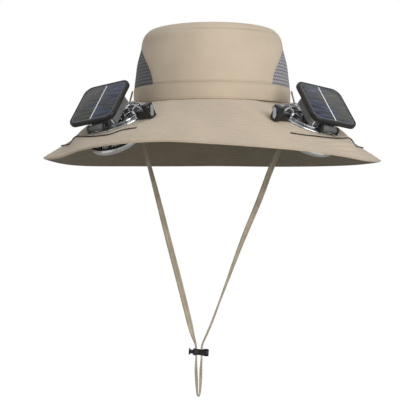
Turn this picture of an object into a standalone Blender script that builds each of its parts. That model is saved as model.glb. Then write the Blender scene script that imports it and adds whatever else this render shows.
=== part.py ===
"""Solar fan hat: a wide brimmed cloth hat with two solar driven fans set through its brim.

The frame is metres with +Z up, the front is -Y, and the origin is the middle of the head opening,
level with the seam where the crown meets the brim. Left is -X and right is +X, seen from the front.
"""

import math

import bmesh
import bpy
from mathutils import Matrix, Vector
from mathutils.bvhtree import BVHTree

# Cloth and clearances
GAP = 0.0003
CLOTH_THICK = 0.0016
BAND_THICK = 0.0020
BRIM_THICK = 0.0022
CUT_REACH = 0.0150

# Crown
CROWN_HALF_WIDTH = 0.0856
CROWN_HALF_DEPTH = 0.1020
CROWN_HEIGHT = 0.0820
BAND_HEIGHT = 0.0170
TOP_SEAM_HEIGHT = 0.0745
TOP_DOME = 0.0012
MESH_RISE = 0.0468
MESH_HALF_ANGLE = math.radians(43.0)
MESH_ARCH_POWER = 1.6
CROWN_COLUMNS = 48
MESH_COLUMNS = 14

# Rows up the crown's wall: share of CROWN_HEIGHT, share of the base's half width and half depth
CROWN_SECTIONS = (
    (0.000, 1.000),
    (0.207, 1.001),
    (0.390, 0.982),
    (0.537, 0.964),
    (0.689, 0.928),
    (0.780, 0.905),
    (0.841, 0.891),
    (0.911, 0.868),
    (0.951, 0.837),
    (0.982, 0.801),
    (1.000, 0.750),
)

# Brim
BRIM_HALF_WIDTH = 0.1840
BRIM_HALF_DEPTH = 0.1980
BRIM_DROP = 0.0620
BRIM_CURVE = 1.06
BRIM_COLUMNS = 60
BRIM_ROWS = (0.0, 0.035, 0.10, 0.22, 0.34, 0.47, 0.62, 0.80, 1.0)
FLAT_MARGIN = 0.0075
FLAT_FADE = 0.0140

# Brim edge: degrees round from the front towards the right, share of BRIM_DROP
BRIM_EDGE = (
    (-150, 0.968),
    (-120, 0.984),
    (-90, 0.919),
    (-60, 0.952),
    (-45, 0.839),
    (-30, 0.766),
    (-15, 0.742),
    (0, 0.782),
    (15, 0.831),
    (30, 0.882),
    (45, 0.948),
    (60, 1.000),
    (90, 0.968),
    (120, 0.984),
    (150, 0.976),
    (180, 0.952),
)

# Piping on the brim, clear of each fan's flange
PIPING_SHARE = 0.205
PIPING_WIDTH = 0.0016
PIPING_HEIGHT = 0.0010
PIPING_FROM = math.radians(8.0)
PIPING_TO = math.radians(63.0)
PIPING_COLUMNS = 14

# Fan units: place on the brim, from the side axis towards the front
FAN_ANGLE = math.radians(42.0)
FAN_REACH = 0.1280
FAN_SLOPE = math.radians(28.3)
FLANGE_RADIUS = 0.0360
FLANGE_THICK = 0.0015
SKIRT_RADIUS = 0.0300
SKIRT_WALL = 0.0015
SKIRT_DEPTH = 0.0040
ROUND_STEPS = 24

# Duct under the brim, which leans away from the fan's axis
DUCT_DROP = 0.0016
DUCT_RADIUS = 0.0335
DUCT_WALL = 0.0020
DUCT_LENGTH = 0.0166
DUCT_SHIFT = (-0.0085, 0.0090)
DUCT_LEAN = (math.radians(10.0), math.radians(7.0))
DUCT_WINDOWS = 16

# Rows down the duct: share of DUCT_LENGTH, share of DUCT_RADIUS
DUCT_SECTIONS = ((0.00, 1.00), (0.16, 0.99), (0.62, 0.935), (0.70, 0.925))
GRILLE_STEPS = 24
BEZEL_SECTIONS = ((0.765, 0.922), (0.82, 0.915), (1.00, 0.820))

# Cage over the fan, which leans towards the crown to clear the battery case
CAGE_WALL = 0.0014
CAGE_RIBS = 12

# Rows up the cage: radius, height above the flange, shift towards the crown, and
# height lost per length away from the crown
CAGE_SECTIONS = (
    (0.0295, 0.0014, 0.0000, 0.00),
    (0.0266, 0.0016, 0.0000, 0.00),
    (0.0225, 0.0042, 0.0014, 0.07),
    (0.0150, 0.0068, 0.0030, 0.12),
    (0.0100, 0.0074, 0.0020, 0.00),
)

# Fan and motor
FAN_RADIUS = 0.0262
FAN_BLADES = 7
FAN_TOP = -0.0010
FAN_HEIGHT = 0.0070
BLADE_PITCH = math.radians(38.0)
BLADE_THICK = 0.0012
HUB_RADIUS = 0.0085
MOTOR_RADIUS = 0.0062
SHAFT_RADIUS = 0.0012

# Solar panel and the battery case under it, which swing on one hinge
PANEL_SIDE = 0.0580
PANEL_THICK = 0.0050
PANEL_CORNER = 0.0100
PANEL_BORDER = 0.0028
PANEL_RECESS = 0.0014
PANEL_TURN = math.radians(16.3)
PANEL_TILT = math.radians(19.5)
PANEL_CENTRE_ALONG = -0.0061
PANEL_CENTRE_UP = 0.0304
HINGE_TO_PANEL = 0.0067
CASE_WIDTH = 0.0310
CASE_LENGTH = 0.0340
CASE_THICK = 0.0072
CASE_ALONG = 0.0065
CASE_CORNER = 0.0022
HINGE_ALONG = -0.0060
HINGE_OUT = 0.0337
HINGE_HEIGHT = 0.0060
BARREL_RADIUS = 0.0034
BARREL_LENGTH = 0.0170
PIN_RADIUS = 0.0009
LUG_RADIUS = 0.0036
LUG_THICK = 0.0026

# Arm and box beside each fan
BOX_ALONG = 0.0560
BOX_OUT = 0.0050
BOX_WIDTH = 0.0085
BOX_DEPTH = 0.0090
BOX_HEIGHT = 0.0148
PLATE_THICK = 0.0010
ARM_DEPTH = 0.0075
ARM_HEIGHT = 0.0085

# Chin strap
STRAP_WIDTH = 0.0065
STRAP_THICK = 0.0016
STRAP_SLIT = (0.0050, 0.0120)
SLIT_FROM_CROWN = 0.0055

# The strap's route: x, y, z, turn of the flat side about its run in degrees, share of STRAP_WIDTH
STRAP_ROUTE = (
    (-0.0874, 0.000, 0.0160, 0, 1.00),
    (-0.0886, 0.000, 0.0110, 0, 1.00),
    (-0.0906, 0.000, 0.0030, 0, 1.00),
    (-0.0912, 0.000, -0.0060, 0, 1.00),
    (-0.0868, 0.000, -0.0200, 8, 1.00),
    (-0.0775, 0.000, -0.0380, 20, 1.00),
    (-0.0700, 0.000, -0.0620, 35, 1.00),
    (-0.0590, 0.000, -0.1035, 55, 1.00),
    (-0.0478, 0.000, -0.1478, 80, 1.00),
    (-0.0363, 0.000, -0.1918, 90, 1.00),
    (-0.0253, 0.000, -0.2358, 80, 0.95),
    (-0.0212, 0.000, -0.2520, 45, 0.80),
    (-0.0178, 0.000, -0.2632, 5, 0.62),
    (-0.0173, 0.000, -0.2760, 0, 0.62),
    (-0.0176, 0.000, -0.2880, 25, 0.75),
    (-0.0171, 0.000, -0.3010, 28, 0.75),
    (-0.0166, 0.000, -0.3110, 15, 0.75),
    (-0.0160, 0.000, -0.3172, 3, 0.75),
    (-0.0148, 0.000, -0.3194, 0, 0.75),
    (-0.0136, 0.000, -0.3172, -3, 0.75),
    (-0.0130, 0.000, -0.3110, -15, 0.75),
    (-0.0125, 0.000, -0.3010, -28, 0.75),
    (-0.0121, 0.000, -0.2880, -25, 0.75),
    (-0.0114, 0.000, -0.2760, 0, 0.62),
    (-0.0109, 0.000, -0.2632, -5, 0.62),
    (-0.0062, 0.000, -0.2520, -12, 0.80),
    (0.0006, 0.000, -0.2358, -15, 0.95),
    (0.0088, 0.000, -0.2138, -10, 1.00),
    (0.0170, 0.000, -0.1918, -22, 1.00),
    (0.0335, 0.000, -0.1478, -50, 1.00),
    (0.0517, 0.000, -0.1039, -80, 1.00),
    (0.0649, 0.000, -0.0687, -85, 1.00),
    (0.0800, 0.000, -0.0330, -45, 1.00),
    (0.0880, 0.000, -0.0140, -10, 1.00),
    (0.0912, 0.000, -0.0060, 0, 1.00),
    (0.0906, 0.000, 0.0030, 0, 1.00),
    (0.0886, 0.000, 0.0110, 0, 1.00),
    (0.0874, 0.000, 0.0160, 0, 1.00),
)
STRAP_POINTS = 68

# Cord lock, in its own frame with x along the barrel
LOCK_CENTRE = (-0.0142, 0.0, -0.2705)
LOCK_TILT = math.radians(4.0)
LOCK_RADIUS = 0.0043
LOCK_DEPTH_SHARE = 1.25
LOCK_BODY = (-0.0068, 0.0106)
LOCK_HOLE = (-0.0048, 0.0048)
LOCK_HOLE_DEPTH = 0.0050
LOCK_HEAD = (-0.0114, -0.0094)
STEM_DEPTH = 0.0070
STEM_HEIGHT = 0.0036
STEM_END = 0.0056
STEM_SLOT_START = -0.0074
PRESS = 0.0024

# Lathe profiles of the lock, as shares of its length and of LOCK_RADIUS
LOCK_PROFILE = ((0.00, 0.70), (0.10, 0.98), (0.30, 0.84), (0.60, 0.86), (0.85, 1.00), (1.00, 0.86))
HEAD_PROFILE = ((0.00, 0.80), (0.30, 0.92), (1.00, 0.60))

COLOURS = {
    # name: colour, roughness, metallic
    "fabric_khaki": ((0.578, 0.479, 0.352), 0.85, 0.0),
    "mesh_grey": ((0.080, 0.080, 0.085), 0.80, 0.0),
    "piping_black": ((0.010, 0.010, 0.010), 0.60, 0.0),
    "plastic_black": ((0.012, 0.012, 0.013), 0.35, 0.0),
    "plastic_grey": ((0.095, 0.095, 0.098), 0.55, 0.0),
    "metal_silver": ((0.780, 0.790, 0.800), 0.18, 1.0),
    "metal_dark": ((0.090, 0.095, 0.105), 0.25, 1.0),
    "solar_cell": ((0.018, 0.022, 0.045), 0.12, 0.0),
    "strap_tan": ((0.300, 0.255, 0.190), 0.80, 0.0),
}


def clear_scene():
    for obj in list(bpy.data.objects):
        bpy.data.objects.remove(obj)


def make_materials():
    made = {}
    for name, (colour, roughness, metallic) in COLOURS.items():
        material = bpy.data.materials.new(name)
        material.use_nodes = True
        shader = material.node_tree.nodes["Principled BSDF"]
        shader.inputs["Base Color"].default_value = (*colour, 1.0)
        shader.inputs["Roughness"].default_value = roughness
        shader.inputs["Metallic"].default_value = metallic
        made[name] = material
    return made


def make_collections():
    parts = bpy.data.collections.new("solar_fan_hat")
    cutters = bpy.data.collections.new("cutters")
    for collection in (parts, cutters):
        bpy.context.scene.collection.children.link(collection)
    cutters.hide_render = True
    return parts, cutters


# Building blocks


class Shop:
    """Makes objects in the hat's collection, and cutters and joined pieces in the other one."""

    def __init__(self):
        self.parts, self.cutters = make_collections()
        self.materials = make_materials()

    def part(self, name, mesh, material, parent=None):
        obj = bpy.data.objects.new(name, mesh)
        self.parts.objects.link(obj)
        mesh.materials.append(self.materials[material])
        mesh.shade_smooth()
        mesh.set_sharp_from_angle(angle=math.radians(35))
        obj.parent = parent
        return obj

    def tool(self, name, mesh, parent=None):
        obj = bpy.data.objects.new(name, mesh)
        self.cutters.objects.link(obj)
        obj.hide_render = True
        obj.display_type = "WIRE"
        obj.parent = parent
        return obj

    def empty(self, name, matrix, parent=None):
        obj = bpy.data.objects.new(name, None)
        self.parts.objects.link(obj)
        obj.parent = parent
        obj.matrix_local = matrix
        return obj


def finished_mesh(bm, name):
    bmesh.ops.recalc_face_normals(bm, faces=bm.faces)
    mesh = bpy.data.meshes.new(name)
    bm.to_mesh(mesh)
    bm.free()
    return mesh


def sheet_mesh(name, rows, closed, is_open=None):
    """An open surface through rows of points, all of one length. is_open(row, column) leaves a face out."""
    bm = bmesh.new()
    grid = [[bm.verts.new(point) for point in row] for row in rows]
    columns = len(rows[0])
    for i in range(len(rows) - 1):
        for j in range(columns if closed else columns - 1):
            if is_open and is_open(i, j):
                continue
            k = (j + 1) % columns
            bm.faces.new((grid[i][j], grid[i][k], grid[i + 1][k], grid[i + 1][j]))
    bmesh.ops.delete(bm, geom=[v for v in bm.verts if not v.link_faces], context="VERTS")
    mesh = bpy.data.meshes.new(name)
    bm.to_mesh(mesh)
    bm.free()
    return mesh


def capped_sheet_mesh(name, rows, tip, is_open=None):
    """A closed sheet whose last row is joined to one point in its middle."""
    bm = bmesh.new()
    grid = [[bm.verts.new(point) for point in row] for row in rows]
    columns = len(rows[0])
    middle = bm.verts.new(tip)
    for j in range(columns):
        k = (j + 1) % columns
        for i in range(len(rows) - 1):
            if not (is_open and is_open(i, j)):
                bm.faces.new((grid[i][j], grid[i][k], grid[i + 1][k], grid[i + 1][j]))
        bm.faces.new((grid[-1][j], grid[-1][k], middle))
    mesh = bpy.data.meshes.new(name)
    bm.to_mesh(mesh)
    bm.free()
    return mesh


def solidify(obj, thickness):
    """Thickens a sheet on the side away from its faces' fronts."""
    modifier = obj.modifiers.new("wall", "SOLIDIFY")
    modifier.thickness = thickness
    modifier.offset = -1.0
    modifier.use_even_offset = True
    return obj


def boolean(obj, other, operation):
    modifier = obj.modifiers.new(operation.lower(), "BOOLEAN")
    modifier.object = other
    modifier.operation = operation
    modifier.solver = "EXACT"


def box_mesh(name, size, centre=(0.0, 0.0, 0.0), bevel=0.0, corner=0.0, segments=2):
    """A box; corner rounds its upright edges, bevel rounds all the others."""
    bm = bmesh.new()
    bmesh.ops.create_cube(bm, size=1.0, matrix=Matrix.Translation(centre) @ Matrix.Diagonal((*size, 1.0)))
    if corner:
        upright = [e for e in bm.edges if abs(e.verts[0].co.z - e.verts[1].co.z) > size[2] / 2]
        bmesh.ops.bevel(bm, geom=upright, offset=corner, segments=segments + 2, profile=0.5, affect="EDGES")
    if bevel:
        edges = [e for e in bm.edges if e.calc_face_angle(0.0) > math.radians(60)]
        bmesh.ops.bevel(bm, geom=edges, offset=bevel, segments=segments, profile=0.5, affect="EDGES")
    return finished_mesh(bm, name)


def cylinder_mesh(name, radius, low, high, steps=ROUND_STEPS, matrix=None):
    bm = bmesh.new()
    place = (matrix or Matrix.Identity(4)) @ Matrix.Translation((0.0, 0.0, (low + high) / 2))
    bmesh.ops.create_cone(
        bm, cap_ends=True, segments=steps, radius1=radius, radius2=radius, depth=high - low, matrix=place
    )
    return finished_mesh(bm, name)


def turned(obj, steps=ROUND_STEPS):
    modifier = obj.modifiers.new("turn", "SCREW")
    modifier.steps = steps
    modifier.render_steps = steps
    modifier.use_merge_vertices = True
    modifier.merge_threshold = 0.00001
    return obj


def profile_mesh(name, points, closed):
    """A turned piece's profile at +X, running down its outer side."""
    mesh = bpy.data.meshes.new(name)
    last = len(points) if closed else len(points) - 1
    edges = [(i, (i + 1) % len(points)) for i in range(last)]
    mesh.from_pydata([(r, 0.0, z) for r, z in points], edges, [])
    return mesh


def table_value(table, at):
    """A smooth value between the rows of a two column table."""
    if at <= table[0][0]:
        return table[0][1]
    for i in range(len(table) - 1):
        x0, y0 = table[i]
        x1, y1 = table[i + 1]
        if at <= x1:
            before = table[max(i - 1, 0)]
            after = table[min(i + 2, len(table) - 1)]
            slope0 = (y1 - before[1]) / max(x1 - before[0], 1e-9)
            slope1 = (after[1] - y0) / max(after[0] - x0, 1e-9)
            h, u = x1 - x0, (at - x0) / (x1 - x0)
            return (
                (2 * u**3 - 3 * u**2 + 1) * y0
                + (u**3 - 2 * u**2 + u) * h * slope0
                + (3 * u**2 - 2 * u**3) * y1
                + (u**3 - u**2) * h * slope1
            )
    return table[-1][1]


# Crown


def crown_point(angle, height, inset=0.0):
    """A point on the crown's outer side; angle runs round from +X, height is above the brim seam."""
    share = table_value(CROWN_SECTIONS, height / CROWN_HEIGHT)
    return Vector((
        (CROWN_HALF_WIDTH * share - inset) * math.cos(angle),
        (CROWN_HALF_DEPTH * share - inset) * math.sin(angle),
        height,
    ))


def arch_height(angle, grow):
    """Height of the mesh panel's top edge at an angle from the side, grown outwards by a margin."""
    half = MESH_HALF_ANGLE + grow / CROWN_HALF_WIDTH
    reach = abs(angle) / half
    if reach >= 1.0:
        return 0.0
    return (MESH_RISE + grow) * (1.0 - reach**MESH_ARCH_POWER) ** (1.0 / MESH_ARCH_POWER)


def arch_angles(grow, columns):
    """Angles across one arch, closer together at its steep feet."""
    half = MESH_HALF_ANGLE + grow / CROWN_HALF_WIDTH
    steps = [math.pi * i / columns for i in range(columns + 1)]
    return [-half * math.copysign(abs(math.cos(s)) ** (2.0 / MESH_ARCH_POWER), math.cos(s)) for s in steps]


def crown_angles():
    """Angles right round the crown: across each arch, and evenly between the arches."""
    across = arch_angles(GAP, MESH_COLUMNS)
    between = (CROWN_COLUMNS - 2 * MESH_COLUMNS) // 2
    turn = math.pi - 2 * across[-1]
    angles = []
    for side in (0.0, math.pi):
        angles += [side + a for a in across]
        angles += [side + across[-1] + turn * i / between for i in range(1, between)]
    return angles


def folded(angle):
    """The angle from the nearer side of the hat, in -90 to 90 degrees."""
    return (angle + math.pi / 2) % math.pi - math.pi / 2


def make_crown(shop):
    base = BAND_HEIGHT + GAP
    rows = 4
    angles = crown_angles()
    foot = [base + arch_height(folded(a), GAP) for a in angles]
    wall = [
        [crown_point(a, f + (TOP_SEAM_HEIGHT - f) * i / rows) for a, f in zip(angles, foot)]
        for i in range(rows + 1)
    ]
    side = shop.part("crown_side", sheet_mesh("crown_side", wall, True), "fabric_khaki")
    solidify(side, CLOTH_THICK)

    start = TOP_SEAM_HEIGHT + 2 * GAP
    around = [2 * math.pi * i / CROWN_COLUMNS for i in range(CROWN_COLUMNS)]
    shoulder = [start + (CROWN_HEIGHT - start) * s for s in (0.0, 0.12, 0.6, 1.0)]
    rings = [[crown_point(a, h) for a in angles] for h in shoulder]
    rings.append([Vector((p.x * 0.6, p.y * 0.6, p.z + TOP_DOME * 0.75)) for p in rings[-1]])
    tip = (0.0, 0.0, CROWN_HEIGHT + TOP_DOME)
    top = shop.part("crown_top", capped_sheet_mesh("crown_top", rings, tip), "fabric_khaki")
    solidify(top, CLOTH_THICK)

    low, high = GAP, BAND_HEIGHT
    band_rows = [[crown_point(a, h, -0.0004) for a in around] for h in (low, high)]
    band = shop.part("crown_band", sheet_mesh("crown_band", band_rows, True), "fabric_khaki")
    solidify(band, BAND_THICK)

    for name, middle in (("crown_mesh_right", 0.0), ("crown_mesh_left", math.pi)):
        across = arch_angles(0.0, MESH_COLUMNS)[1:-1]
        mesh_rows = [
            [crown_point(middle + a, base + arch_height(a, 0.0) * i / 3) for a in across]
            for i in range(4)
        ]
        panel = shop.part(name, sheet_mesh(name, mesh_rows, False), "mesh_grey")
        solidify(panel, CLOTH_THICK)


# Brim


def edge_drop(angle):
    """How far the brim's edge hangs below the seam; angle runs round from +X."""
    bearing = (math.degrees(angle) + 90.0 + 180.0) % 360.0 - 180.0
    first, last = BRIM_EDGE[0], BRIM_EDGE[-1]
    table = ((last[0] - 360, last[1]), *BRIM_EDGE, (first[0] + 360, first[1]))
    return BRIM_DROP * table_value(table, bearing)


def brim_reach(x, y):
    """Share of the way from the head opening to the brim's edge, and the ellipse's angle there."""
    low, high = -0.5, 2.0
    for _ in range(40):
        share = (low + high) / 2
        half_x = CROWN_HALF_WIDTH + (BRIM_HALF_WIDTH - CROWN_HALF_WIDTH) * share
        half_y = CROWN_HALF_DEPTH + (BRIM_HALF_DEPTH - CROWN_HALF_DEPTH) * share
        if (x / half_x) ** 2 + (y / half_y) ** 2 > 1.0:
            low = share
        else:
            high = share
    return share, math.atan2(y / half_y, x / half_x)


def brim_height(x, y):
    share, angle = brim_reach(x, y)
    return -edge_drop(angle) * max(share, 0.0) ** BRIM_CURVE


def fan_frame(side):
    """Place of a fan on the brim: x along the brim towards the front (right) or back (left), y outwards."""
    out = Vector((side * math.cos(FAN_ANGLE), -math.sin(FAN_ANGLE), 0.0))
    middle = out * FAN_REACH
    middle.z = brim_height(middle.x, middle.y)
    down = out * math.cos(FAN_SLOPE) - Vector((0.0, 0.0, math.sin(FAN_SLOPE)))
    normal = out * math.sin(FAN_SLOPE) + Vector((0.0, 0.0, math.cos(FAN_SLOPE)))
    along = down.cross(normal)
    matrix = Matrix((along, down, normal)).transposed().to_4x4()
    matrix.translation = middle
    return matrix


def smooth_step(value):
    value = min(max(value, 0.0), 1.0)
    return value * value * (3.0 - 2.0 * value)


def brim_point(x, y):
    """A point on the brim's top, which lies flat under each fan's flange."""
    height = brim_height(x, y)
    for side in (-1, 1):
        frame = fan_frame(side)
        normal = frame.col[2].to_3d()
        middle = frame.translation
        away = math.hypot(x - middle.x, y - middle.y)
        level = middle.z - (normal.x * (x - middle.x) + normal.y * (y - middle.y)) / normal.z
        flat = 1.0 - smooth_step((away - FLANGE_RADIUS - FLAT_MARGIN) / FLAT_FADE)
        height += (min(level, 0.0) - height) * flat
    return Vector((x, y, height))


def make_brim(shop):
    inner = BAND_THICK / CROWN_HALF_WIDTH
    angles = [2 * math.pi * i / BRIM_COLUMNS for i in range(BRIM_COLUMNS)]
    rows = []
    for share in BRIM_ROWS:
        half_x = CROWN_HALF_WIDTH * (1 - inner) * (1 - share) + BRIM_HALF_WIDTH * share
        half_y = CROWN_HALF_DEPTH * (1 - inner) * (1 - share) + BRIM_HALF_DEPTH * share
        rows.append([brim_point(half_x * math.cos(a), half_y * math.sin(a)) for a in angles])
    rows.reverse()
    brim = shop.part("brim", sheet_mesh("brim", rows, True), "fabric_khaki")
    solidify(brim, BRIM_THICK)
    for side in (-1, 1):
        hole = cylinder_mesh("fan_hole", SKIRT_RADIUS + GAP, -CUT_REACH, CUT_REACH)
        cutter = shop.tool(f"fan_hole_{side}", hole)
        cutter.matrix_world = fan_frame(side)
        boolean(brim, cutter, "DIFFERENCE")
        slit_x = side * (CROWN_HALF_WIDTH + SLIT_FROM_CROWN)
        slit = box_mesh("strap_slit", (*STRAP_SLIT, 2 * CUT_REACH), (slit_x, 0.0, brim_height(slit_x, 0.0)))
        boolean(brim, shop.tool(f"strap_slit_{side}", slit), "DIFFERENCE")
    return brim


def surface_of(obj):
    graph = bpy.context.evaluated_depsgraph_get()
    graph.update()
    return BVHTree.FromObject(obj, graph)


def make_piping(shop, brim_tree):
    flange_edge = FAN_REACH + FLANGE_RADIUS * math.cos(FAN_SLOPE)
    for name, side in (("brim_piping_left", -1), ("brim_piping_right", 1)):
        rows = []
        for edge in (1, -1):
            row = []
            for i in range(PIPING_COLUMNS + 1):
                turn = PIPING_FROM + (PIPING_TO - PIPING_FROM) * i / PIPING_COLUMNS
                brim_edge = 1.0 / math.hypot(math.cos(turn) / BRIM_HALF_WIDTH, math.sin(turn) / BRIM_HALF_DEPTH)
                radius = flange_edge + (brim_edge - flange_edge) * PIPING_SHARE + edge * PIPING_WIDTH / 2
                x, y = side * radius * math.cos(turn), -radius * math.sin(turn)
                seat = brim_tree.ray_cast(Vector((x, y, CROWN_HEIGHT)), Vector((0, 0, -1)))[0]
                row.append(Vector((x, y, seat.z + GAP + PIPING_HEIGHT)))
            rows.append(row if side > 0 else row[::-1])
        piping = shop.part(name, sheet_mesh(name, rows, False), "piping_black")
        solidify(piping, PIPING_HEIGHT)


# Fan units


def duct_ring(share, radius, steps=2 * DUCT_WINDOWS):
    """A ring of points round the leaning duct, share of the way down it."""
    top = Vector((0.0, 0.0, -BRIM_THICK - DUCT_DROP))
    middle = top + Vector((DUCT_SHIFT[0], DUCT_SHIFT[1], -DUCT_LENGTH)) * share
    lean = Matrix.Rotation(DUCT_LEAN[0] * share, 4, "Y") @ Matrix.Rotation(-DUCT_LEAN[1] * share, 4, "X")
    turns = [2 * math.pi * i / steps for i in range(steps)]
    return [middle + lean @ Vector((radius * math.cos(a), radius * math.sin(a), 0.0)) for a in turns]


def mirrored(points, side):
    """Points for the left fan are the right fan's, mirrored along the brim and put back in order."""
    if side > 0:
        return points
    return [Vector((-p.x, p.y, p.z)) for p in reversed(points)]


def cage_ring(radius, height, shift, lean, steps=2 * CAGE_RIBS):
    points = []
    for i in range(steps):
        turn = 2 * math.pi * i / steps
        y = radius * math.sin(turn) - shift
        points.append(Vector((radius * math.cos(turn), y, height - lean * y)))
    return points


def make_duct(shop, unit, word):
    side = 1 if word == "right" else -1
    rows = [mirrored(duct_ring(s, DUCT_RADIUS * r), side) for s, r in reversed(DUCT_SECTIONS)]
    windows = sheet_mesh("duct", rows, True, lambda i, j: i == 1 and j % 2 == 0)
    solidify(shop.part(f"fan_duct_{word}", windows, "metal_dark", unit), DUCT_WALL)

    rows = [mirrored(duct_ring(s, DUCT_RADIUS * r, ROUND_STEPS), side) for s, r in reversed(BEZEL_SECTIONS)]
    solidify(shop.part(f"fan_bezel_{word}", sheet_mesh("bezel", rows, True), "metal_silver", unit), DUCT_WALL)

    share, radius = 0.86, DUCT_RADIUS * 0.825 - DUCT_WALL - 2 * GAP
    steps = GRILLE_STEPS
    rings = [duct_ring(share, radius * r, steps) for r in (1.0, 0.90, 0.24, 0.02)]
    is_open = lambda i, j: i == 1 and j % 3 != 0
    grille = sheet_mesh("grille", [mirrored(r, side) for r in reversed(rings)], True, is_open)
    solidify(shop.part(f"fan_grille_{word}", grille, "metal_dark", unit), 0.0012)


def make_flange(shop, unit, word):
    inner = SKIRT_RADIUS - SKIRT_WALL
    profile = (
        (inner, GAP + FLANGE_THICK),
        (FLANGE_RADIUS - 0.001, GAP + FLANGE_THICK),
        (FLANGE_RADIUS, GAP + FLANGE_THICK / 2),
        (FLANGE_RADIUS, GAP),
        (SKIRT_RADIUS, GAP),
        (SKIRT_RADIUS, -SKIRT_DEPTH),
        (inner, -SKIRT_DEPTH),
    )
    turned(shop.part(f"fan_flange_{word}", profile_mesh("flange", profile, True), "metal_silver", unit))


def make_cage(shop, unit, word):
    side = 1 if word == "right" else -1
    seat = GAP + FLANGE_THICK + GAP
    rows = [
        mirrored(cage_ring(radius, seat + height, shift, lean), side)
        for radius, height, shift, lean in CAGE_SECTIONS
    ]
    middle = Vector((0.0, -CAGE_SECTIONS[-1][2], rows[-1][0].z))
    is_open = lambda i, j: i in (1, 2) and j % 2 == 0
    shell = capped_sheet_mesh("cage", rows, middle, is_open)
    solidify(shop.part(f"fan_cage_{word}", shell, "metal_dark", unit), CAGE_WALL)
    return rows[-1][0].z - CAGE_WALL


def make_motor(shop, unit, word, ceiling):
    can = cylinder_mesh("motor", MOTOR_RADIUS, FAN_TOP + 2 * GAP, ceiling - GAP, 16)
    motor = shop.part(f"fan_motor_{word}", can, "metal_silver", unit)
    shaft = cylinder_mesh("shaft", SHAFT_RADIUS, FAN_TOP - FAN_HEIGHT, ceiling - 2 * GAP, 12)
    boolean(motor, shop.tool(f"motor_shaft_{word}", shaft, unit), "UNION")


def make_impeller(shop, unit, word):
    side = 1 if word == "right" else -1
    hub = cylinder_mesh("hub", HUB_RADIUS, FAN_TOP - FAN_HEIGHT, FAN_TOP, 16)
    impeller = shop.part(f"fan_impeller_{word}", hub, "metal_silver", unit)
    bm = bmesh.new()
    length = FAN_RADIUS - HUB_RADIUS + 0.002
    for i in range(FAN_BLADES):
        place = (
            Matrix.Rotation(2 * math.pi * i / FAN_BLADES, 4, "Z")
            @ Matrix.Translation((HUB_RADIUS - 0.002 + length / 2, 0.0, FAN_TOP - FAN_HEIGHT / 2))
            @ Matrix.Rotation(side * BLADE_PITCH, 4, "X")
            @ Matrix.Diagonal((length, 0.0090, BLADE_THICK, 1.0))
        )
        bmesh.ops.create_cube(bm, size=1.0, matrix=place)
    blades = shop.tool(f"blades_{word}", finished_mesh(bm, "blades"), unit)
    boolean(impeller, blades, "UNION")
    bore = cylinder_mesh("bore", SHAFT_RADIUS + GAP, -0.02, 0.02, 12)
    boolean(impeller, shop.tool(f"hub_bore_{word}", bore, unit), "DIFFERENCE")


def make_panel(shop, unit, word):
    side = 1 if word == "right" else -1
    turn = Matrix.Rotation(-side * PANEL_TURN, 4, "Z")
    foot = turn @ Matrix.Translation((side * HINGE_ALONG, HINGE_OUT, HINGE_HEIGHT))
    hinge = shop.empty(f"panel_hinge_{word}", foot @ Matrix.Rotation(-PANEL_TILT, 4, "X"), unit)
    centre = (side * PANEL_CENTRE_ALONG, -PANEL_CENTRE_UP)

    bm = bmesh.new()
    bm.from_mesh(box_mesh(
        "frame", (PANEL_SIDE, PANEL_SIDE, PANEL_THICK), (*centre, HINGE_TO_PANEL), corner=PANEL_CORNER
    ))
    lid = max(bm.faces, key=lambda f: f.calc_center_median().z)
    bmesh.ops.inset_region(bm, faces=[lid], thickness=PANEL_BORDER)
    bmesh.ops.translate(bm, verts=list(lid.verts), vec=(0.0, 0.0, -PANEL_RECESS))
    frame = finished_mesh(bm, "frame")
    shop.part(f"panel_frame_{word}", frame, "plastic_black", hinge)

    window = PANEL_SIDE - 2 * (PANEL_BORDER + GAP)
    thick = PANEL_RECESS - 2 * GAP
    top = HINGE_TO_PANEL + PANEL_THICK / 2 - GAP
    cells = box_mesh(
        "cells", (window, window, thick), (*centre, top - thick / 2), corner=PANEL_CORNER - PANEL_BORDER - GAP
    )
    shop.part(f"solar_cells_{word}", cells, "solar_cell", hinge)

    lid_height = HINGE_TO_PANEL - PANEL_THICK / 2 - GAP
    near_edge = -LUG_RADIUS - 2 * GAP
    case_mesh = box_mesh(
        "case",
        (CASE_WIDTH, CASE_LENGTH, CASE_THICK),
        (side * CASE_ALONG, near_edge - CASE_LENGTH / 2, lid_height - CASE_THICK / 2),
        corner=CASE_CORNER,
        segments=1,
    )
    case = shop.part(f"battery_case_{word}", case_mesh, "plastic_grey", hinge)
    sideways = Matrix.Rotation(math.pi / 2, 4, "Y")
    half = BARREL_LENGTH / 2
    barrel = cylinder_mesh("barrel", BARREL_RADIUS, -half, half, 16, sideways)
    boolean(case, shop.tool(f"barrel_{word}", barrel, hinge), "UNION")
    tongue = box_mesh("tongue", (BARREL_LENGTH, -near_edge + 0.001, BARREL_RADIUS), (0.0, (near_edge - 0.001) / 2, 0.0))
    boolean(case, shop.tool(f"tongue_{word}", tongue, hinge), "UNION")
    bore = cylinder_mesh("bore", PIN_RADIUS + GAP, -0.02, 0.02, 12, sideways)
    boolean(case, shop.tool(f"barrel_bore_{word}", bore, hinge), "DIFFERENCE")
    make_bracket(shop, unit, word, foot)


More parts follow.
